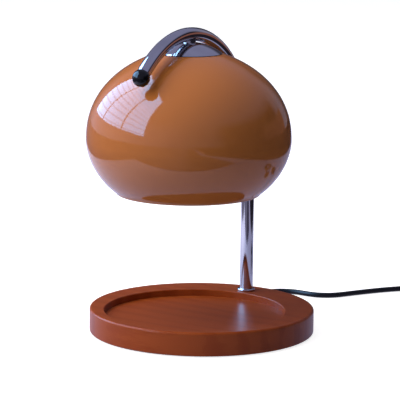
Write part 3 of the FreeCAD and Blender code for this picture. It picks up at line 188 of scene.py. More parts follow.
def dome_rings(radius: float, middle: float, first: float, last: float, steps: int) -> List[Ring]:
    """Rings along an arc of a ball that is centred on the axis.

    Args:
        radius: the ball's radius.
        middle: the height of its centre.
        first: the first ring's angle from straight up, in radians.
        last: the last ring's angle.
        steps: how many parts the arc has.

    Returns:
        Radius and height of each ring.
    """
    angles = [first + (last - first) * k / steps for k in range(steps + 1)]
    return [(radius * math.sin(a), middle + radius * math.cos(a)) for a in angles]


class Wiring:
    """A node tree with short helpers for wiring it."""

    def __init__(self, tree: bpy.types.NodeTree) -> None:
        """Keep the tree."""
        self.tree = tree
        self._coords: Optional[bpy.types.Node] = None

    def add(self, kind: str, **values: object) -> bpy.types.Node:
        """Add one node and set its properties and inputs.

        Args:
            kind: the node's type name.
            values: properties, or inputs written as in_Name.

        Returns:
            The new node.
        """
        made = self.tree.nodes.new(kind)
        for key, value in values.items():
            if key.startswith("in_"):
                made.inputs[key.removeprefix("in_").replace("_", " ")].default_value = value
            else:
                setattr(made, key, value)
        return made

    def join(self, source: Socket, target: Socket) -> None:
        """Link two sockets."""
        self.tree.links.new(source, target)

    def place(self, scale: Point = (1.0, 1.0, 1.0), turn: Point = (0.0, 0.0, 0.0),
              kind: str = "Object") -> Socket:
        """Coordinates through a Mapping node.

        Args:
            scale: the pattern's scale along each axis.
            turn: its turn in radians.
            kind: which of the coordinates.

        Returns:
            The vector socket.
        """
        if self._coords is None:
            self._coords = self.add("ShaderNodeTexCoord")
        mapping = self.add("ShaderNodeMapping", in_Scale=scale, in_Rotation=turn)
        self.join(self._coords.outputs[kind], mapping.inputs["Vector"])
        return mapping.outputs["Vector"]

    def axes(self, vector: Socket) -> Tuple[Socket, ...]:
        """The three parts of a vector."""
        made = self.add("ShaderNodeSeparateXYZ")
        self.join(vector, made.inputs[0])
        return tuple(made.outputs)

    def calc(self, kind: str, *terms: Union[Socket, float]) -> Socket:
        """One Math node over sockets and numbers.

        Args:
            kind: the operation.
            terms: its inputs in order.

        Returns:
            The result's socket.
        """
        made = self.add("ShaderNodeMath", operation=kind)
        for socket, term in zip(made.inputs, terms):
            if isinstance(term, (int, float)):
                socket.default_value = term
            else:
                self.join(term, socket)
        return made.outputs[0]

    def between(self, value: Socket, bounds: Tuple[float, float]) -> Socket:
        """One where a value lies between two bounds, otherwise nought."""
        above = self.calc("GREATER_THAN", value, bounds[0])
        return self.calc("MULTIPLY", above, self.calc("LESS_THAN", value, bounds[1]))

    def span(self, factor: Socket, low: float = 0.0, high: float = 1.0, start: float = 0.0,
             end: float = 1.0) -> Socket:
        """Stretch a factor that runs from start to end so that it runs from low to high."""
        made = self.add("ShaderNodeMapRange", in_From_Min=start, in_From_Max=end, in_To_Min=low,
                        in_To_Max=high)
        self.join(factor, made.inputs["Value"])
        return made.outputs["Result"]

    def noise(self, pattern: Noise, vector: Optional[Socket] = None) -> Socket:
        """A noise texture's factor."""
        made = self.add("ShaderNodeTexNoise", in_Scale=pattern.scale, in_Detail=pattern.detail,
                        in_Roughness=pattern.roughness)
        self.join(vector if vector is not None else self.place(), made.inputs["Vector"])
        return made.outputs["Fac"]

    def ramp(self, factor: Socket, stops: Sequence[Tuple[float, Colour]]) -> Socket:
        """A colour ramp over a factor.

        Args:
            factor: what drives the ramp.
            stops: positions and colours, at least two.

        Returns:
            The ramp's colour socket.
        """
        made = self.add("ShaderNodeValToRGB")
        elements = made.color_ramp.elements
        while len(elements) < len(stops):
            elements.new(0.5)
        for element, (position, colour) in zip(elements, stops):
            element.position = position
            element.color = (*colour, 1.0)
        self.join(factor, made.inputs["Fac"])
        return made.outputs["Color"]

    def mix(self, factor: Socket, first: Socket, second: Union[Socket, Colour]) -> Socket:
        """Mix a second colour over a first.

        Args:
            factor: how much of the second shows.
            first: the first colour's socket.
            second: the second colour, a socket or plain.

        Returns:
            The mixed colour's socket.
        """
        made = self.add("ShaderNodeMix", data_type="RGBA")
        self.join(factor, made.inputs[0])
        under, over = (made.inputs[index] for index in MIX_COLOURS)
        self.join(first, under)
        if isinstance(second, tuple):
            over.default_value = (*second, 1.0)
        else:
            self.join(second, over)
        return made.outputs[MIX_RESULT]

    def mix_shaders(self, factor: Socket, first: Socket, second: Socket) -> Socket:
        """Mix a second shader over a first."""
        made = self.add("ShaderNodeMixShader")
        for socket, source in zip(made.inputs, (factor, first, second)):
            self.join(source, socket)
        return made.outputs["Shader"]


class Graph(Wiring):
    """A material's node tree round one Principled shader."""

    def __init__(self, name: str) -> None:
        """Start a material.

        Args:
            name: the material's name.
        """
        self.material = bpy.data.materials.new(name)
        self.material.use_nodes = True
        super().__init__(self.material.node_tree)
        self.shader = self.tree.nodes["Principled BSDF"]

    def drive(self, source: Socket, name: str) -> None:
        """Link a socket into one of the shader's inputs."""
        self.join(source, self.shader.inputs[name])

    def drift(self, factor: Socket, low: Colour, high: Colour) -> None:
        """Let the base colour drift from one colour to another."""
        self.drive(self.ramp(factor, list(zip(DRIFT_STOPS, (low, high)))), "Base Color")

    def bump(self, height: Socket, strength: float, distance: float) -> None:
        """Drive the shader's normal with a bump."""
        made = self.add("ShaderNodeBump", in_Strength=strength, in_Distance=distance)
        self.join(height, made.inputs["Height"])
        self.drive(made.outputs["Normal"], "Normal")

    def set(self, **values: object) -> None:
        """Set the shader's own sockets, with underscores for blanks."""
        for key, value in values.items():
            self.shader.inputs[key.replace("_", " ")].default_value = value


@dataclass(frozen=True)
class StainedWood:
    """Red-brown stained hardwood under a satin lacquer, its grain about 20 degrees off X."""

    look: Look = Look.WOOD
    dark: Tuple[float, Colour] = (0.45, (0.262, 0.046, 0.0085))
    mid: Tuple[float, Colour] = (0.80, (0.290, 0.054, 0.0105))
    pale: Tuple[float, Colour] = (0.86154, (0.322, 0.064, 0.0130))
    gloss: Tuple[float, float] = (0.23, 0.39)
    sheen: float = 0.17
    grain_turn: Point = (0.0, 0.0, 0.35)
    warp: Noise = Noise(3.0, 4.0, 0.55)
    warp_stretch: Point = (1.0, 9.0, 9.0)
    band_scale: float = 2.2
    band_distortion: float = 4.0
    band_detail: float = 3.0
    band_detail_scale: float = 1.6
    band_stretch: Point = (1.2, 8.0, 8.0)
    band_share: float = 0.30
    fibre: Noise = Noise(90.0, 5.0, 0.6)
    fibre_stretch: Point = (0.6, 14.0, 14.0)
    fibre_share: float = 0.35
    bump: float = 0.07
    depth: float = 0.0004

    def build(self) -> bpy.types.Material:
        """Make the wood.

        Returns:
            The material.
        """
        g = Graph(self.look.value)
        warp = g.noise(self.warp, g.place(self.warp_stretch, self.grain_turn))
        bands = g.add("ShaderNodeTexWave", wave_type="BANDS", bands_direction="Y", wave_profile="SIN",
                      in_Scale=self.band_scale, in_Distortion=self.band_distortion,
                      in_Detail=self.band_detail, in_Detail_Scale=self.band_detail_scale)
        g.join(g.place(self.band_stretch, self.grain_turn), bands.inputs["Vector"])
        fibre = g.noise(self.fibre, g.place(self.fibre_stretch, self.grain_turn))
        grain = g.calc("MULTIPLY_ADD", bands.outputs["Fac"], self.band_share, warp)
        both = g.calc("MULTIPLY_ADD", fibre, self.fibre_share, grain)
        g.drive(g.ramp(both, (self.dark, self.mid, self.pale)), "Base Color")
        g.drive(g.span(fibre, *self.gloss), "Roughness")
        g.set(Specular_IOR_Level=self.sheen)
        g.bump(fibre, self.bump, self.depth)
        return g.material


@dataclass(frozen=True)
class PlainFinish:
    """A moulded, painted or metal finish with slight colour drift and a fine surface."""

    look: Look
    colour: Colour
    roughness: float = 0.45
    metal: float = 0.0
    drift: float = 0.10
    drift_pattern: Noise = Noise(18.0, 3.0)
    grain_scale: float = 400.0
    grain_detail: float = 2.0
    grain_strength: float = 0.05
    grain_depth: float = 0.0002
    grain_spread: float = 0.12
    coat: float = 0.0
    coat_roughness: float = 0.12
    specular: float = 0.5
    see_through: float = 0.0
    ior: float = 1.45

    def build(self) -> bpy.types.Material:
        """Make the finish.

        Returns:
            The material.
        """
        g = Graph(self.look.value)
        low = tuple(max(0.0, c * (1.0 - self.drift)) for c in self.colour)
        high = tuple(min(1.0, c * (1.0 + self.drift)) for c in self.colour)
        g.drift(g.noise(self.drift_pattern), low, high)
        grain = g.noise(Noise(self.grain_scale, self.grain_detail))
        smooth = max(0.02, self.roughness * (1.0 - self.grain_spread))
        rough = min(1.0, self.roughness * (1.0 + self.grain_spread))
        g.drive(g.span(grain, smooth, rough), "Roughness")
        g.bump(grain, self.grain_strength, self.grain_depth)
        g.set(Metallic=self.metal, Coat_Weight=self.coat, Coat_Roughness=self.coat_roughness,
              Specular_IOR_Level=self.specular)
        if self.see_through:
            g.set(Transmission_Weight=self.see_through, IOR=self.ior)
        return g.material


@dataclass(frozen=True)
class CaramelGlass:
    """Opaque caramel glass under a deep clear gloss."""

    look: Look = Look.GLASS
    deep: Colour = (0.440, 0.144, 0.033)
    body: Colour = (0.476, 0.160, 0.039)
    drift: Noise = Noise(7.0, 2.0)
    ripple: Noise = Noise(16.0, 1.5, 0.4)
    ripple_strength: float = 0.02
    ripple_depth: float = 0.0006
    gloss: Tuple[float, float] = (0.05, 0.075)
    specular: float = 0.5
    ior: float = 1.50
    glow_through: float = 0.05
    glow_reach: Point = (0.006, 0.003, 0.0015)

    def build(self) -> bpy.types.Material:
        """Make the glass.

        Returns:
            The material.
        """
        g = Graph(self.look.value)
        g.drift(g.noise(self.drift), self.deep, self.body)
        ripple = g.noise(self.ripple)
        g.drive(g.span(ripple, *self.gloss), "Roughness")
        g.set(IOR=self.ior, Specular_IOR_Level=self.specular, Subsurface_Weight=self.glow_through,
              Subsurface_Radius=self.glow_reach)
        g.bump(ripple, self.ripple_strength, self.ripple_depth)
        return g.material


@dataclass(frozen=True)
class PolishedChrome:
    """Bright plated steel with faint polishing haze."""

    look: Look = Look.CHROME
    deep: Colour = (0.52, 0.515, 0.54)
    bright: Colour = (0.595, 0.59, 0.615)
    haze: Noise = Noise(60.0, 3.0)
    haze_strength: float = 0.01
    haze_depth: float = 0.0002
    gloss: Tuple[float, float] = (0.045, 0.085)

    def build(self) -> bpy.types.Material:
        """Make the plating.

        Returns:
            The material.
        """
        g = Graph(self.look.value)
        haze = g.noise(self.haze)
        g.drift(haze, self.deep, self.bright)
        g.drive(g.span(haze, *self.gloss), "Roughness")
        g.set(Metallic=1.0)
        g.bump(haze, self.haze_strength, self.haze_depth)
        return g.material


PLAIN_FINISHES = (
    PlainFinish(Look.RUBBER, (0.030, 0.030, 0.032), 0.75, grain_strength=0.15),
    PlainFinish(Look.COVER, (0.022, 0.022, 0.024), 0.5, grain_strength=0.1),
    PlainFinish(Look.STEEL, (0.42, 0.42, 0.43), 0.28, 1.0),
    PlainFinish(Look.BALL, (0.003, 0.003, 0.004), 0.07, grain_strength=0.005, specular=0.35),
    PlainFinish(Look.BRASS, (0.55, 0.36, 0.12), 0.3, 1.0),
    PlainFinish(Look.GASKET, (0.012, 0.012, 0.013), 0.7),
    PlainFinish(Look.PLATE, (0.62, 0.61, 0.58), 0.4, coat=0.2),
    PlainFinish(Look.HOLDER, (0.74, 0.72, 0.66), 0.3, coat=0.3),
    PlainFinish(Look.CERAMIC, (0.66, 0.63, 0.56), 0.65, grain_strength=0.2),
    PlainFinish(Look.PIN, (0.50, 0.50, 0.50), 0.25, 1.0),
    PlainFinish(Look.MIRROR, (0.74, 0.74, 0.72), 0.12, 1.0, grain_scale=120.0, grain_strength=0.2),
    PlainFinish(Look.LENS, (0.92, 0.94, 0.94), 0.06, drift=0.02, see_through=1.0),
    PlainFinish(Look.BURNER, (0.95, 0.95, 0.92), 0.05, drift=0.02, see_through=1.0),
    PlainFinish(Look.CORD, (0.004, 0.004, 0.005), 0.40, grain_strength=0.1, specular=0.3),
    PlainFinish(Look.CLAMP, (0.52, 0.52, 0.48), 0.5),
    PlainFinish(Look.BROWN_LEAD, (0.060, 0.020, 0.008), 0.45),
    PlainFinish(Look.BLUE_LEAD, (0.010, 0.030, 0.160), 0.45),
    PlainFinish(Look.SHELL, (0.016, 0.016, 0.017), 0.48, grain_scale=900.0, grain_strength=0.25),
    PlainFinish(Look.DIAL, (0.020, 0.020, 0.022), 0.2, coat=0.3),
    PlainFinish(Look.BOARD, (0.018, 0.085, 0.030), 0.4),
    PlainFinish(Look.CONTROL, (0.020, 0.020, 0.022), 0.5),
    PlainFinish(Look.BLADE, (0.60, 0.43, 0.17), 0.22, 1.0),
)


@dataclass
class Finishes:
    """Every finish that the lamp's pieces take."""

    made: Dict[Look, bpy.types.Material] = field(default_factory=dict)

    def build(self) -> None:
        """Make all the materials once."""
        for finish in (StainedWood(), CaramelGlass(), PolishedChrome(), *PLAIN_FINISHES):
            self.made[finish.look] = finish.build()
        log.info("%d finishes", len(self.made))

    def wear(self, piece: bpy.types.Object, look: Look) -> None:
        """Give a piece one finish in its only slot."""
        piece.data.materials.clear()
        piece.data.materials.append(self.made[look])

    def put_on(self, piece: bpy.types.Object, look: Look, stands_for: str) -> None:
        """Dress a new piece, hang it on the lamp's body and hide the model's node that it replaces.

        Args:
            piece: the new piece.
            look: its finish.
            stands_for: the model's node that it replaces.
        """
        self.wear(piece, look)
        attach(piece, LAMP_BODY)
        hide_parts(stands_for)
        log.info("%s: %d faces", piece.name, len(piece.data.polygons))


@dataclass
class ModelNodes:
    """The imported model's own nodes and the finish that each wears."""

    worn: Dict[Look, Tuple[str, ...]] = field(default_factory=lambda: {
        Look.WOOD: ("base_disc",),
        Look.GLASS: ("shade",),
        Look.CHROME: ("arm_tube", "foot_collar", "dome_cap", "neck_stem"),
        Look.RUBBER: ("foot_pads",),
        Look.COVER: ("bottom_cover",),
        Look.STEEL: ("cover_screws", "pole_washer", "pole_nut", "carrier_nut", "cup_nut", "holder_screws",
                     "clamp_screws", "terminal_screws", "dimmer_screws"),
        Look.BALL: ("end_ball",),
        Look.BRASS: ("pole_stem",),
        Look.GASKET: ("shade_gasket_upper", "shade_gasket_lower"),
        Look.PLATE: ("carrier_plate", "lamp_cup"),
        Look.HOLDER: ("lamp_holder",),
        Look.CERAMIC: ("lamp_foot",),
        Look.PIN: ("lamp_pins",),
        Look.MIRROR: ("lamp_bowl",),
        Look.LENS: ("lamp_lens",),
        Look.BURNER: ("lamp_burner",),
        Look.CORD: ("cord_gland", "cord_inner", "cord_run", "cord_link", "cord_coil", "cord_tail",
                    "dimmer_reliefs", "plug_body"),
        Look.CLAMP: ("clamp_seat", "clamp_bar", "terminal_block"),
        Look.BROWN_LEAD: ("mains_lead_1", "lamp_lead_1"),
        Look.BLUE_LEAD: ("mains_lead_2", "lamp_lead_2"),
        Look.SHELL: ("dimmer_shell_lower", "dimmer_shell_upper"),
        Look.DIAL: ("dimmer_dial",),
        Look.BOARD: ("dimmer_board",),
        Look.CONTROL: ("dimmer_control",),
        Look.BLADE: ("plug_blades",)})

    def dress(self, nodes: Dict[str, bpy.types.Object], finishes: Finishes) -> None:
        """Give every node its finish.

        Args:
            nodes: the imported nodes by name.
            finishes: the materials.
        """
        for look, names in self.worn.items():
            for name in names:
                finishes.wear(nodes[name], look)
        log.info("%d nodes dressed", len(nodes))


@dataclass
class GlassShade:
    """The onion-shaped glass shade: two power curves that meet at its widest ring, with a lip and a wall."""

    radius: float = 0.0897
    waist: float = 0.1758
    rise: float = 0.0805
    rise_power: float = 2.23
    rise_reach: float = 1.785
    fall: float = 0.0624
    fall_power: float = 1.77
    fall_reach: float = 2.55
    mouth: float = 0.1286
    lip: float = 0.001
    lip_steps: int = 8
    wall: float = 0.003
    land: float = 0.0292
    land_inset: float = 0.001
    hole: float = 0.021
    hole_edge: float = 0.0004
    steps_low: int = 22
    steps_high: int = 34
    segments: int = 160
    smooth_below: float = 50.0

    def radius_at(self, height: float) -> float:
        """Outer radius at one height."""
        if height >= self.waist:
            part = (height - self.waist) / self.rise
            return self.radius * (1 - part ** self.rise_power) ** (1 / self.rise_reach)
        part = (self.waist - height) / self.fall
        return self.radius * (1 - part ** self.fall_power) ** (1 / self.fall_reach)

    def height_at(self, reach: float) -> float:
        """Outer height of the upper half at one radius."""
        part = 1 - (reach / self.radius) ** self.rise_reach
        return self.waist + self.rise * part ** (1 / self.rise_power)

    def outer(self) -> List[Ring]:
        """The outer curve from the lip to the flat land.

        Returns:
            Radius and height of each ring.
        """
        low_z = self.mouth + self.lip
        rings: List[Ring] = []
        for k in range(self.steps_low):
            height = low_z + (self.waist - low_z) * math.sin(math.pi / 2 * k / self.steps_low)
            rings.append((self.radius_at(height), height))
        for k in range(self.steps_high + 1):
            inwards = 1 - math.cos(math.pi / 2 * k / self.steps_high)
            reach = self.radius - (self.radius - self.land) * inwards
            rings.append((reach, self.height_at(reach)))
        return rings

    def inner(self, outer: Sequence[Ring]) -> List[Ring]:
        """The inner wall, one wall thickness inside the outer curve.

        Args:
            outer: the outer rings.

        Returns:
            The inner rings in the same order.
        """
        rings: List[Ring] = []
        last = len(outer) - 1
        for k, (r, z) in enumerate(outer):
            before, after = outer[max(0, k - 1)], outer[min(last, k + 1)]
            dr, dz = after[0] - before[0], after[1] - before[1]
            size = math.hypot(dr, dz)
            rings.append((r - dz / size * self.wall, z + dr / size * self.wall))
        rings[0] = (rings[0][0], outer[0][1])
        rings[-1] = (self.land - self.land_inset, outer[-1][1] - self.wall)
        return rings

    def round_lip(self, outside: Ring, inside: Ring) -> List[Ring]:
        """The half round under the wall, from its inner to its outer side."""
        half = (outside[0] - inside[0]) / 2
        middle = (outside[0] + inside[0]) / 2
        turns = [math.pi * k / self.lip_steps for k in range(1, self.lip_steps)]
        return [(middle - half * math.cos(a), outside[1] - self.lip * math.sin(a)) for a in turns]

    def build(self, finishes: Finishes) -> None:
        """Turn the glass and dress it."""
        outer = self.outer()
        inner = self.inner(outer)
        top, edge = outer[-1][1], self.hole_edge
        crown = [(self.hole + edge, top), (self.hole, top - edge), (self.hole, top - self.wall + edge),
                 (self.hole + edge, top - self.wall)]
        rings = outer + crown + inner[::-1] + self.round_lip(outer[0], inner[0])
        piece = turned("glass_shade", rings, SHADE_AXIS, self.segments, self.smooth_below)
        finishes.put_on(piece, Look.GLASS, "shade")


@dataclass
class BentArm:
    """The upright tube with its two bends, and the collar at its foot."""

    radius: float = 0.006
    wall: float = 0.0009
    setback: float = 0.080
    foot: float = 0.022
    straight_top: float = 0.149
    straight_steps: int = 4
    rear_bend: float = 0.126
    rear_turn: float = 44.0
    rear_steps: int = 30
    front_bend: float = 0.1033
    front_turn: float = 88.4
    front_steps: int = 64
    segments: int = 64
    smooth_below: float = 35.0
    collar_radius: float = 0.00815
    collar_height: float = 0.0022
    collar_round: float = 0.0009
    collar_round_steps: int = 6
    collar_bevel: float = 0.0002
    collar_fit: float = 0.0001
    collar_smooth_below: float = 50.0

    def build_tube(self, finishes: Finishes) -> None:
        """Extrude the upright, spin the two bends and give the skin its wall."""
        clear_selection()
        bpy.ops.mesh.primitive_circle_add(vertices=self.segments, radius=self.radius, fill_type="NOTHING",
                                          location=(0.0, self.setback, self.foot))
        bpy.ops.object.mode_set(mode="EDIT")
        bpy.ops.mesh.select_all(action="SELECT")
        step = (self.straight_top - self.foot) / self.straight_steps
        for _ in range(self.straight_steps):
            bpy.ops.mesh.extrude_region_move(TRANSFORM_OT_translate={"value": (0.0, 0.0, step)})
        first = math.radians(self.rear_turn)
        rear = (0.0, self.setback - self.rear_bend, self.straight_top)
        gap = self.rear_bend - self.front_bend
        front = (0.0, rear[1] + gap * math.cos(first), rear[2] + gap * math.sin(first))
        for steps, angle, centre in ((self.rear_steps, first, rear),
                                     (self.front_steps, math.radians(self.front_turn), front)):
            bpy.ops.mesh.spin(steps=steps, angle=-angle, center=centre, axis=(1.0, 0.0, 0.0))
        bpy.ops.mesh.select_all(action="SELECT")
        bpy.ops.mesh.remove_doubles(threshold=WELD_DISTANCE)
        point_outwards()
        bpy.ops.object.mode_set(mode="OBJECT")
        piece = settle(bpy.context.object, "bent_arm")
        skin = piece.modifiers.new("wall", "SOLIDIFY")
        skin.thickness = self.wall
        skin.offset = -1.0
        bpy.ops.object.modifier_apply(modifier=skin.name)
        bpy.ops.object.shade_smooth_by_angle(angle=math.radians(self.smooth_below))
        finishes.put_on(piece, Look.CHROME, "arm_tube")

    def build_collar(self, finishes: Finishes) -> None:
        """Turn the collar that covers the tube's foot."""
        r, foot, top = self.collar_radius, self.foot, self.foot + self.collar_height
        bore = self.radius + self.collar_fit
        edge, bevel = self.collar_round, self.collar_bevel
        turns = [math.radians(90 / self.collar_round_steps * k) for k in range(self.collar_round_steps + 1)]
        shoulder = [(r - edge + edge * math.cos(a), top - edge + edge * math.sin(a)) for a in turns]
        rings = [(bore, foot), (r - bevel, foot), (r, foot + bevel)] + shoulder + [(bore, top)]
        piece = turned("foot_ring", rings, (0.0, self.setback), self.segments, self.collar_smooth_below)
        finishes.put_on(piece, Look.CHROME, "foot_collar")


@dataclass
class EndBall:
    """The glossy black ball that closes the arm's free end."""

    radius: float = 0.0076
    centre: Point = (0.0, -0.10291, 0.23778)
    lean: float = 132.4
    spigot_radius: float = 0.0046
    spigot_foot: float = 0.00485
    spigot_length: float = 0.007
    segments: int = 64
    smooth_below: float = 35.0

    def build(self, finishes: Finishes) -> None:
        """Shape the ball with its short spigot into the tube."""
        clear_selection()
        bpy.ops.mesh.primitive_uv_sphere_add(segments=self.segments, ring_count=self.segments // 2,
                                             radius=self.radius, location=(0, 0, 0))
        bpy.ops.object.mode_set(mode="EDIT")
        bpy.ops.mesh.select_all(action="SELECT")
        foot = (0, 0, self.spigot_foot)
        bpy.ops.mesh.bisect(plane_co=foot, plane_no=(0, 0, 1), clear_outer=True, use_fill=False)
        bpy.ops.mesh.extrude_region_move(TRANSFORM_OT_translate={"value": (0.0, 0.0, 0.0)})
        share = self.spigot_radius / math.sqrt(self.radius ** 2 - self.spigot_foot ** 2)
        bpy.ops.transform.resize(value=(share, share, 1.0), center_override=foot)
        bpy.ops.mesh.extrude_region_move(TRANSFORM_OT_translate={"value": (0.0, 0.0, self.spigot_length)})
        bpy.ops.mesh.edge_face_add()
        point_outwards()
        bpy.ops.object.mode_set(mode="OBJECT")
        piece = bpy.context.object
        turn = math.radians(self.lean)
        back = Vector((0.0, math.sin(turn), -math.cos(turn)))
        piece.rotation_euler = back.to_track_quat("Z", "Y").to_euler()
        piece.location = self.centre
        settle(piece, "end_knob")
        bpy.ops.object.shade_smooth_by_angle(angle=math.radians(self.smooth_below))
        finishes.put_on(piece, Look.BALL, "end_ball")


@dataclass
class ChromeCap:
    """The domed chrome cap that clamps the glass."""

    radius: float = 0.0285
    foot: float = 0.25174
    height: float = 0.0096
    flat: float = 0.0004
    wall: float = 0.001
    bore: float = 0.00495
    steps: int = 26
    segments: int = 128
    smooth_below: float = 40.0

    def build(self, finishes: Finishes) -> None:
        """Turn the cap's skin and its hollow."""
        dome = (self.radius ** 2 + self.height ** 2) / (2 * self.height)
        middle = self.foot + self.height - dome
        skin = dome_rings(dome, middle, math.asin(self.radius / dome), math.acos((dome - self.flat) / dome),
                          self.steps)
        core = dome - self.wall
        hollow = dome_rings(core, middle, math.asin(self.bore / core), math.acos((self.foot - middle) / core),
                            self.steps)
        rings = skin + [(self.bore, skin[-1][1])] + hollow
        piece = turned("chrome_cap", rings, SHADE_AXIS, self.segments, self.smooth_below)
        finishes.put_on(piece, Look.CHROME, "dome_cap")


@dataclass
class MirrorBowl:
    """The reflector lamp's mirrored bowl, a power curve whose rings crowd towards the neck."""

    rim_z: float = 0.1691
    depth: float = 0.033
    neck: float = 0.0095
    rim: float = 0.025
    power: float = 0.62
    crowding: float = 1.5
    wall: float = 0.0013
    narrowest: float = 0.004
    steps: int = 22
    segments: int = 96
    smooth_below: float = 40.0

    def build(self, finishes: Finishes) -> None:
        """Turn the bowl's outer and inner curves."""
        shares = [(k / self.steps) ** self.crowding for k in range(self.steps + 1)]
        outer = [(self.neck + (self.rim - self.neck) * share ** self.power,
                  self.rim_z + self.depth * (1 - share)) for share in shares]
        inner = [(max(self.narrowest, r - self.wall), z) for r, z in outer]
        piece = turned("mirror_bowl", outer + inner[::-1], SHADE_AXIS, self.segments, self.smooth_below)
        finishes.put_on(piece, Look.MIRROR, "lamp_bowl")


@dataclass(frozen=True)
class DimmerPlace:
    """Where the dimmer lies on its cord, and its lengths along it."""

    start: Point = (0.1175, 0.253411, 0.008)
    way: float = -10.0
    sleeve: float = 0.011
    body: float = 0.058

    def heading(self) -> Vector:
        """The cord's direction through the dimmer."""
        return Vector((math.cos(math.radians(self.way)), math.sin(math.radians(self.way)), 0.0))

    def from_point(self, origin: Vector, along: float, aside: float = 0.0, up: float = 0.0) -> Vector:
        """A point given along, across and above the dimmer's own axis."""
        heading = self.heading()
        left = Vector((-heading.y, heading.x, 0.0))
        return origin + heading * along + left * aside + Vector((0.0, 0.0, up))


@dataclass
class StrainReliefs:
    """The two tapered sleeves where the cord enters and leaves the dimmer."""

    place: DimmerPlace = DimmerPlace()
    length: float = 0.020
    root: float = 0.0045
    tip: float = 0.0030
    bore: float = 0.00255
    ribs: int = 6
    plain_end: float = 0.0022
    groove: float = 0.0006
    groove_share: float = 0.45
    groove_slope: float = 0.0004
    rib_fall: float = 0.0002
    tip_round: Ring = (0.0004, 0.0006)
    segments: int = 40
    smooth_below: float = 40.0

    def profile(self) -> List[Ring]:
        """The ribbed outline from the dimmer's end to the tip.

        Returns:
            Radius and distance along the sleeve of each ring.
        """
        rings: List[Ring] = [(self.bore, 0.0), (self.root, 0.0)]
        ribbed = self.length - 2 * self.plain_end
        deep = ribbed / self.ribs * self.groove_share
        for k in range(self.ribs):
            z = self.plain_end + ribbed * k / self.ribs
            taper = self.root + (self.tip - self.root) * z / self.length
            rings += [(taper, z), (taper - self.groove, z + self.groove_slope),
                      (taper - self.groove, z + deep), (taper - self.rib_fall, z + deep + self.groove_slope)]
        inwards, before = self.tip_round
        return rings + [(self.tip, self.length - before), (self.tip - inwards, self.length),
                        (self.bore, self.length)]

    def build(self, finishes: Finishes) -> bpy.types.Object:
        """Turn one ribbed sleeve at each end of the dimmer and join the two.

        Args:
            finishes: the materials.

        Returns:
            Both sleeves as one piece.
        """
        rings = self.profile()
        heading = self.place.heading()
        made = []
        for sign, along in ((-1.0, self.place.sleeve), (1.0, self.place.sleeve + self.place.body)):
            piece = turned("sleeve_part", rings, (0.0, 0.0), self.segments, self.smooth_below)
            piece.rotation_euler = (heading * sign).to_track_quat("Z", "Y").to_euler()
            piece.location = Vector(self.place.start) + heading * along
            made.append(settle(piece, "sleeve_part"))
        clear_selection()
        for piece in made:
            piece.select_set(True)
        bpy.context.view_layer.objects.active = made[0]
        bpy.ops.object.join()
        piece = settle(bpy.context.object, "cord_sleeves")
        finishes.put_on(piece, Look.CORD, "dimmer_reliefs")
        return piece


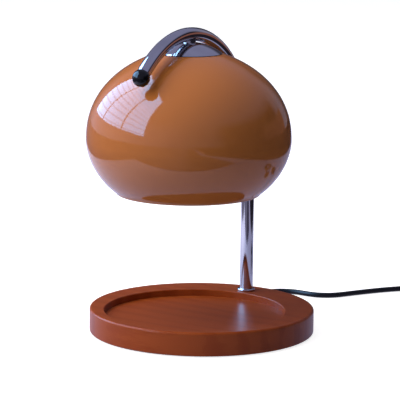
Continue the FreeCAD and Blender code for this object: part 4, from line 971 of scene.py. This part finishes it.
@dataclass
class FreeCord:
    """The cord from the gland to the plug: loose where it is seen, then a put-away coil.

    The loose points are across, past the gland and up. The link's are along, aside and up from
    the dimmer's far end, and the tail's are along, aside and the share of the fall to the plug.
    """

    place: DimmerPlace = DimmerPlace()
    diameter: float = 0.005
    length: float = 1.503
    rest: float = 0.00255
    axis_height: float = 0.008
    plug_height: float = 0.0079
    gland: Point = (-0.020, 0.114711, axis_height)
    straight_out: float = 0.010
    loose: Tuple[Point, ...] = (
        (-0.0223, 0.022, 0.0052), (-0.0252, 0.0376, rest), (-0.0181, 0.0531, rest), (-0.0026, 0.0611, rest),
        (0.019, 0.0585, rest), (0.0306, 0.0619, rest), (0.040, 0.0696, rest), (0.0507, 0.0899, rest),
        (0.066, 0.1143, rest), (0.079, 0.1303, rest), (0.0849, 0.135, 0.0029), (0.0917, 0.1384, 0.0045),
        (0.0991, 0.1403, 0.0066))
    straight_in: float = 0.011
    drop: float = rest - axis_height
    link: Tuple[Point, ...] = (
        (0.0, 0.0, 0.0), (0.009, 0.0, 0.0), (0.021, -0.0005, -0.003), (0.034, 0.0, drop), (0.047, 0.0, drop))
    tail: Tuple[Point, ...] = (
        (0.0, 0.0, 0.0), (-0.009, 0.0, 0.0), (-0.019, -0.0014, 0.5), (-0.029, -0.0022, 1.0),
        (-0.039, -0.0022, 1.0))
    turns: int = 3
    steps_per_half: int = 8
    pitch: float = 0.0058
    layer: float = 0.00565
    middle_radius: float = 0.0275
    roundness: int = 4
    on_it: Tuple[str, ...] = ("plug_body", "plug_blades", "dimmer_shell_lower", "dimmer_shell_upper",
                              "dimmer_screws", "dimmer_dial", "dimmer_board", "dimmer_control")

    def coil(self, centre: Vector, outer: float) -> List[Vector]:
        """The coil: inwards on the lower layer, half a turn up, and outwards on the upper one.

        Args:
            centre: the coil's centre on the lower layer.
            outer: the radius at which it starts and ends.

        Returns:
            The control points in order.
        """
        inner = outer - self.pitch * self.turns
        pitch = self.pitch / (2 * math.pi)
        first = math.radians(self.place.way + 90.0)
        spin_in = 2 * math.pi * self.turns
        halves = 4 * self.turns + 1
        steps = halves * self.steps_per_half
        # The spline runs a little inside its points, so they stand out by this share.
        grow = 1.0 + (math.pi / self.steps_per_half / 4) ** 2 / 2
        points = []
        for k in range(steps + 1):
            spin = math.pi * halves * k / steps
            over = spin - spin_in
            if over <= 0.0:
                radius, height = outer - pitch * spin, 0.0
            elif over <= math.pi:
                share = over / math.pi
                radius = inner - pitch * (over - over * over / math.pi)
                height = self.layer * share * share * (3 - 2 * share)
            else:
                radius, height = inner + pitch * (over - math.pi), self.layer
            reach, angle = radius * grow, first - spin
            points.append(centre + Vector((reach * math.cos(angle), reach * math.sin(angle), height)))
        return points

    def route(self) -> List[Vector]:
        """The cord's points, from the gland to the plug.

        Returns:
            The control points in order.
        """
        at = self.place.from_point
        gland, dimmer = Vector(self.gland), Vector(self.place.start)
        points = [gland, gland + Vector((0.0, self.straight_out, 0.0))]
        points += [Vector((x, gland.y + ahead, z)) for x, ahead, z in self.loose]
        points += [at(dimmer, -self.straight_in), dimmer]
        link = at(dimmer, 2 * self.place.sleeve + self.place.body)
        points += [at(link, *step) for step in self.link]
        outer = self.middle_radius + self.pitch * self.turns / 2
        centre = at(link, self.link[-1][0] + self.diameter, -outer, self.drop)
        points += self.coil(centre, outer)
        tail = at(at(centre, 0.0, -outer, self.layer), -self.diameter)
        fall = self.plug_height - tail.z
        return points + [at(tail, along, aside, fall * share) for along, aside, share in self.tail]

    def build(self, finishes: Finishes, nodes: Dict[str, bpy.types.Object],
              sleeves: bpy.types.Object) -> None:
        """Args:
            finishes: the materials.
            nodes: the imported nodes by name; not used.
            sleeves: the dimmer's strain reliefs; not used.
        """
        curve = bpy.data.curves.new("cord", "CURVE")
        curve.dimensions = "3D"
        spline = curve.splines.new("NURBS")
        route = self.route()
        spline.points.add(len(route) - 1)
        for knot, place in zip(spline.points, route):
            knot.co = (*place, 1.0)
        spline.order_u = 3
        spline.use_endpoint_u = True
        spline.resolution_u = self.roundness
        curve.bevel_depth = self.diameter / 2
        curve.bevel_resolution = self.roundness
        curve.use_fill_caps = True
        cord = bpy.data.objects.new("cord", curve)
        bpy.context.scene.collection.objects.link(cord)
        finishes.wear(cord, Look.CORD)
        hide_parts("cord_run", "cord_link", "cord_coil", "cord_tail")
        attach(cord, LAMP_BODY)
        log.info("cord of %.3f m", self.length)


def to_model(x: float, y: float, z: float) -> Vector:
    """Turn a point from the camera's upright axes into the model's frame."""
    c, s = math.cos(CAMERA_TURN), math.sin(CAMERA_TURN)
    return Vector((x * c - y * s, x * s + y * c, z))


@dataclass
class PhotoCamera:
    """A camera at the photograph's viewing angle."""

    across: float = -0.00246
    back: float = 1.9735
    up: float = 0.47826
    pitch: float = 0.1803
    roll: float = 0.0101
    focal_px: float = 2266.66
    frame_px: float = 400.0
    sensor_mm: float = 36.0
    farthest: float = 100.0

    def build(self) -> None:
        """Place the camera and make it the scene's own."""
        data = bpy.data.cameras.new("camera")
        data.sensor_fit = "HORIZONTAL"
        data.sensor_width = self.sensor_mm
        data.lens = self.sensor_mm * self.focal_px / self.frame_px
        data.clip_end = self.farthest
        camera = bpy.data.objects.new("camera", data)
        bpy.context.scene.collection.objects.link(camera)
        camera.location = to_model(self.across, -self.back, self.up)
        right = Vector((1.0, 0.0, 0.0))
        ahead = Vector((0.0, math.cos(self.pitch), -math.sin(self.pitch)))
        up = Vector((0.0, math.sin(self.pitch), math.cos(self.pitch)))
        c, s = math.cos(self.roll), math.sin(self.roll)
        axes = [to_model(*v) for v in (right * c + up * s, up * c - right * s, -ahead)]
        camera.rotation_euler = Matrix(axes).transposed().to_euler()
        bpy.context.scene.camera = camera


@dataclass
class PaleFloor:
    """A wide floor that looks white and keeps the object's shadow, and gives the gloss darker ground with
    painted light and shade on it.
    """

    size: float = 14.0
    level: float = -0.0002
    roughness: float = 0.9
    specular: float = 0.2
    lift: float = 0.82
    seen: Colour = (0.72, 0.72, 0.76)
    bounce: Colour = (0.42, 0.41, 0.50)
    near_edge: float = -0.27
    side_edge: float = 0.42
    half_width: float = 0.6
    # Painted light and shade across the floor: brightest on the left, darker towards the right.
    painted_light_inside: Tuple[Tuple[float, Colour], ...] = (
        (0.27, (1.06, 1.08, 1.50)), (0.42, (0.62, 0.66, 1.00)), (0.58, (0.46, 0.48, 0.74)),
        (0.72, (0.38, 0.38, 0.60)))
    # Painted ground past the floor's edges, mostly dark, with a pale band towards the right.
    painted_light_outside: Tuple[Tuple[float, Colour], ...] = (
        (0.45, (0.20, 0.19, 0.29)), (0.52, (0.07, 0.06, 0.10)), (0.72, (0.07, 0.06, 0.10)),
        (0.76, (0.50, 0.48, 0.75)), (0.84, (0.40, 0.37, 0.55)), (0.88, (0.020, 0.017, 0.026)))

    def paper(self, g: Graph, for_camera: Socket) -> Socket:
        """The lit surface: one colour to the camera, with a lift towards white, and one that it bounces.

        Args:
            g: the floor's graph.
            for_camera: one on camera rays.

        Returns:
            The shader's socket.
        """
        g.drive(g.ramp(for_camera, [(0.0, self.bounce), (1.0, self.seen)]), "Base Color")
        g.set(Roughness=self.roughness, Specular_IOR_Level=self.specular)
        glow = g.add("ShaderNodeEmission")
        g.join(g.span(for_camera, 0.0, self.lift), glow.inputs["Strength"])
        both = g.add("ShaderNodeAddShader")
        g.join(g.shader.outputs["BSDF"], both.inputs[0])
        g.join(glow.outputs["Emission"], both.inputs[1])
        return both.outputs["Shader"]

    def mirrored(self, g: Graph) -> Socket:
        """What the gloss sees of the floor: painted light and shade that glow in place of its lit surface,
        pale, above all on the left, darker towards the right, and darker past its edges.

        Args:
            g: the floor's graph.

        Returns:
            The shader's socket.
        """
        across, ahead, _ = g.axes(g.place(turn=(0.0, 0.0, -CAMERA_TURN)))
        share = g.span(across, start=-self.half_width, end=self.half_width)
        aside = g.calc("GREATER_THAN", g.calc("ABSOLUTE", across), self.side_edge)
        outside = g.calc("MAXIMUM", aside, g.calc("LESS_THAN", ahead, self.near_edge))
        colour = g.mix(outside, g.ramp(share, self.painted_light_inside), g.ramp(share, self.painted_light_outside))
        # The floor glows these painted colours for the gloss in place of its own lit surface.
        glow = g.add("ShaderNodeEmission")
        g.join(colour, glow.inputs["Color"])
        return glow.outputs["Emission"]

    def build(self) -> None:
        """Lay the floor."""
        clear_selection()
        bpy.ops.mesh.primitive_plane_add(size=self.size, location=(0.0, 0.0, self.level))
        floor = settle(bpy.context.object, "floor")
        g = Graph("floor_paper")
        path = g.add("ShaderNodeLightPath")
        surface = g.mix_shaders(path.outputs["Is Glossy Ray"], self.paper(g, path.outputs["Is Camera Ray"]),
                                self.mirrored(g))
        g.join(surface, g.tree.nodes["Material Output"].inputs["Surface"])
        floor.data.materials.append(g.material)


@dataclass
class Surroundings:
    """Soft light from all sides, shapes by direction for the gloss to mirror, and white for the camera.

    The walls go by the share of a full turn: 0 is ahead of the camera, 0.25 on its left, 0.5
    behind it and 0.75 on its right. Heights are the upward part of a direction of length 1. The
    pane, its bars and its slats go by the slope ahead and up for each metre to the left.
    """

    white: Colour = (1.0, 1.0, 1.0)
    soft_colour: Colour = (0.95, 0.95, 1.0)
    soft_strength: float = 0.115
    walls: Tuple[Tuple[float, Colour], ...] = (
        (0.0, (0.055, 0.05, 0.07)), (0.06, (0.10, 0.095, 0.13)), (0.12, (0.75, 0.77, 1.15)),
        (0.24, (0.80, 0.83, 1.15)), (0.38, (0.48, 0.48, 0.76)), (0.50, (0.28, 0.27, 0.42)),
        (0.58, (0.22, 0.21, 0.32)), (0.62, (0.030, 0.026, 0.045)), (0.84, (0.022, 0.018, 0.030)),
        (0.87, (0.30, 0.29, 0.40)), (0.91, (0.30, 0.29, 0.40)), (0.94, (0.055, 0.05, 0.07)),
        (1.0, (0.055, 0.05, 0.07)))
    overhead: Colour = (0.27, 0.275, 0.44)
    overhead_rise: Tuple[float, float] = (0.34, 0.52)
    strip: Colour = (0.30, 0.12, 0.09)
    strip_share: Tuple[float, float] = (0.76, 0.885)
    strip_height: Tuple[float, float] = (-0.06, 0.20)
    pane: Colour = (4.0, 7.4, 12.6)
    pane_across: Tuple[float, float] = (-0.80, 1.25)
    pane_up: Tuple[float, float] = (0.20, 2.10)
    bars: Tuple[float, ...] = (-0.14, 0.52)
    bar_width: float = 0.035
    slat_rate: float = 46.0
    slat_edge: float = -0.8
    slat_dark: float = 0.5
    slat_gain: float = 0.35
    least_left: float = 0.001

    def pane_mask(self, w: Wiring, axes: Tuple[Socket, ...]) -> Socket:
        """How much of the barred and slatted bright pane on the left shows in each direction.

        Args:
            w: the world's wiring.
            axes: the direction in the camera's upright axes.

        Returns:
            The factor's socket.
        """
        x, y, z = axes
        left = w.calc("MAXIMUM", w.calc("MULTIPLY", x, -1.0), self.least_left)
        across, up = w.calc("DIVIDE", y, left), w.calc("DIVIDE", z, left)
        mask = w.calc("MULTIPLY", w.between(across, self.pane_across), w.between(up, self.pane_up))
        for low in self.bars:
            clear = w.calc("SUBTRACT", 1.0, w.between(across, (low, low + self.bar_width)))
            mask = w.calc("MULTIPLY", mask, clear)
        wave = w.calc("SINE", w.calc("MULTIPLY", up, self.slat_rate))
        slats = w.calc("GREATER_THAN", wave, self.slat_edge)
        return w.calc("MULTIPLY", mask, w.calc("MULTIPLY_ADD", slats, self.slat_gain, self.slat_dark))

    def by_direction(self, w: Wiring) -> Socket:
        """What the gloss mirrors: pale with the pane on the left, dark with a warm strip on the right.

        Args:
            w: the world's wiring.

        Returns:
            The colour socket.
        """
        axes = w.axes(w.place(turn=(0.0, 0.0, -CAMERA_TURN), kind="Generated"))
        x, y, z = axes
        around = w.calc("ARCTAN2", x, w.calc("MULTIPLY", y, -1.0))
        share = w.calc("MULTIPLY_ADD", around, 0.5 / math.pi, 0.5)
        strip = w.calc("MULTIPLY", w.between(share, self.strip_share), w.between(z, self.strip_height))
        walls = w.mix(strip, w.ramp(share, self.walls), self.strip)
        start, end = self.overhead_rise
        covered = w.mix(w.span(z, start=start, end=end), walls, self.overhead)
        return w.mix(self.pane_mask(w, axes), covered, self.pane)

    def build(self) -> None:
        """Make the world."""
        world = bpy.data.worlds.new("surroundings")
        bpy.context.scene.world = world
        world.use_nodes = True
        w = Wiring(world.node_tree)
        soft = w.tree.nodes["Background"]
        soft.inputs["Color"].default_value = (*self.soft_colour, 1.0)
        soft.inputs["Strength"].default_value = self.soft_strength
        mirrored = w.add("ShaderNodeBackground")
        w.join(self.by_direction(w), mirrored.inputs["Color"])
        white = w.add("ShaderNodeBackground", in_Color=(*self.white, 1.0))
        path = w.add("ShaderNodeLightPath")
        lit = w.mix_shaders(path.outputs["Is Glossy Ray"], soft.outputs[0], mirrored.outputs[0])
        clear = w.calc("MAXIMUM", path.outputs["Is Camera Ray"], path.outputs["Is Transmission Ray"])
        sky = w.mix_shaders(clear, lit, white.outputs[0])
        w.join(sky, w.tree.nodes["World Output"].inputs["Surface"])


@dataclass(frozen=True)
class SoftLight:
    """One soft square light, placed in the camera's upright axes and hidden from the gloss."""

    name: str
    at: Point
    aim: Point
    size: float
    watts: float
    colour: Colour = (1.0, 1.0, 1.0)

    def build(self) -> None:
        """Hang the light and point it at its aim."""
        data = bpy.data.lights.new(self.name, "AREA")
        data.shape = "RECTANGLE"
        data.size = data.size_y = self.size
        data.energy = self.watts
        data.color = self.colour
        light = bpy.data.objects.new(self.name, data)
        light.visible_glossy = False
        bpy.context.scene.collection.objects.link(light)
        light.location = to_model(*self.at)
        light.rotation_euler = (to_model(*self.aim) - to_model(*self.at)).to_track_quat("-Z", "Y").to_euler()


@dataclass
class Studio:
    """Camera, floor, surroundings and lights."""

    lights: Tuple[SoftLight, ...] = (
        SoftLight("key", (-1.42, -0.42, 1.42), (0.0, 0.0, 0.10), 2.2, 54.0, (1.0, 0.99, 1.0)),
        SoftLight("overhead", (-0.2, 0.3, 2.2), (0.0, 0.0, 0.1), 1.6, 12.0),
        SoftLight("fill", (1.2, -1.8, 0.8), (0.0, 0.0, 0.15), 1.2, 1.0, (0.98, 0.97, 1.0)))

    def build(self) -> None:
        """Set the whole stage up."""
        bpy.context.scene.view_settings.view_transform = "Standard"
        for stage in (PhotoCamera(), PaleFloor(), Surroundings(), *self.lights):
            stage.build()
        log.info("stage set")


def main() -> None:
    """Build the scene in order."""
    logging.basicConfig(level=logging.INFO, format="%(name)s: %(message)s")
    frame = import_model()
    clear_selection()
    nodes = frame["nodes"]
    finishes = Finishes()
    finishes.build()
    Studio().build()
    ModelNodes().dress(nodes, finishes)
    FreeCord().build(finishes, nodes, StrainReliefs().build(finishes))
    GlassShade().build(finishes)
    arm = BentArm()
    arm.build_tube(finishes)
    arm.build_collar(finishes)
    EndBall().build(finishes)
    ChromeCap().build(finishes)
    MirrorBowl().build(finishes)


if __name__ == "__main__":
    main()
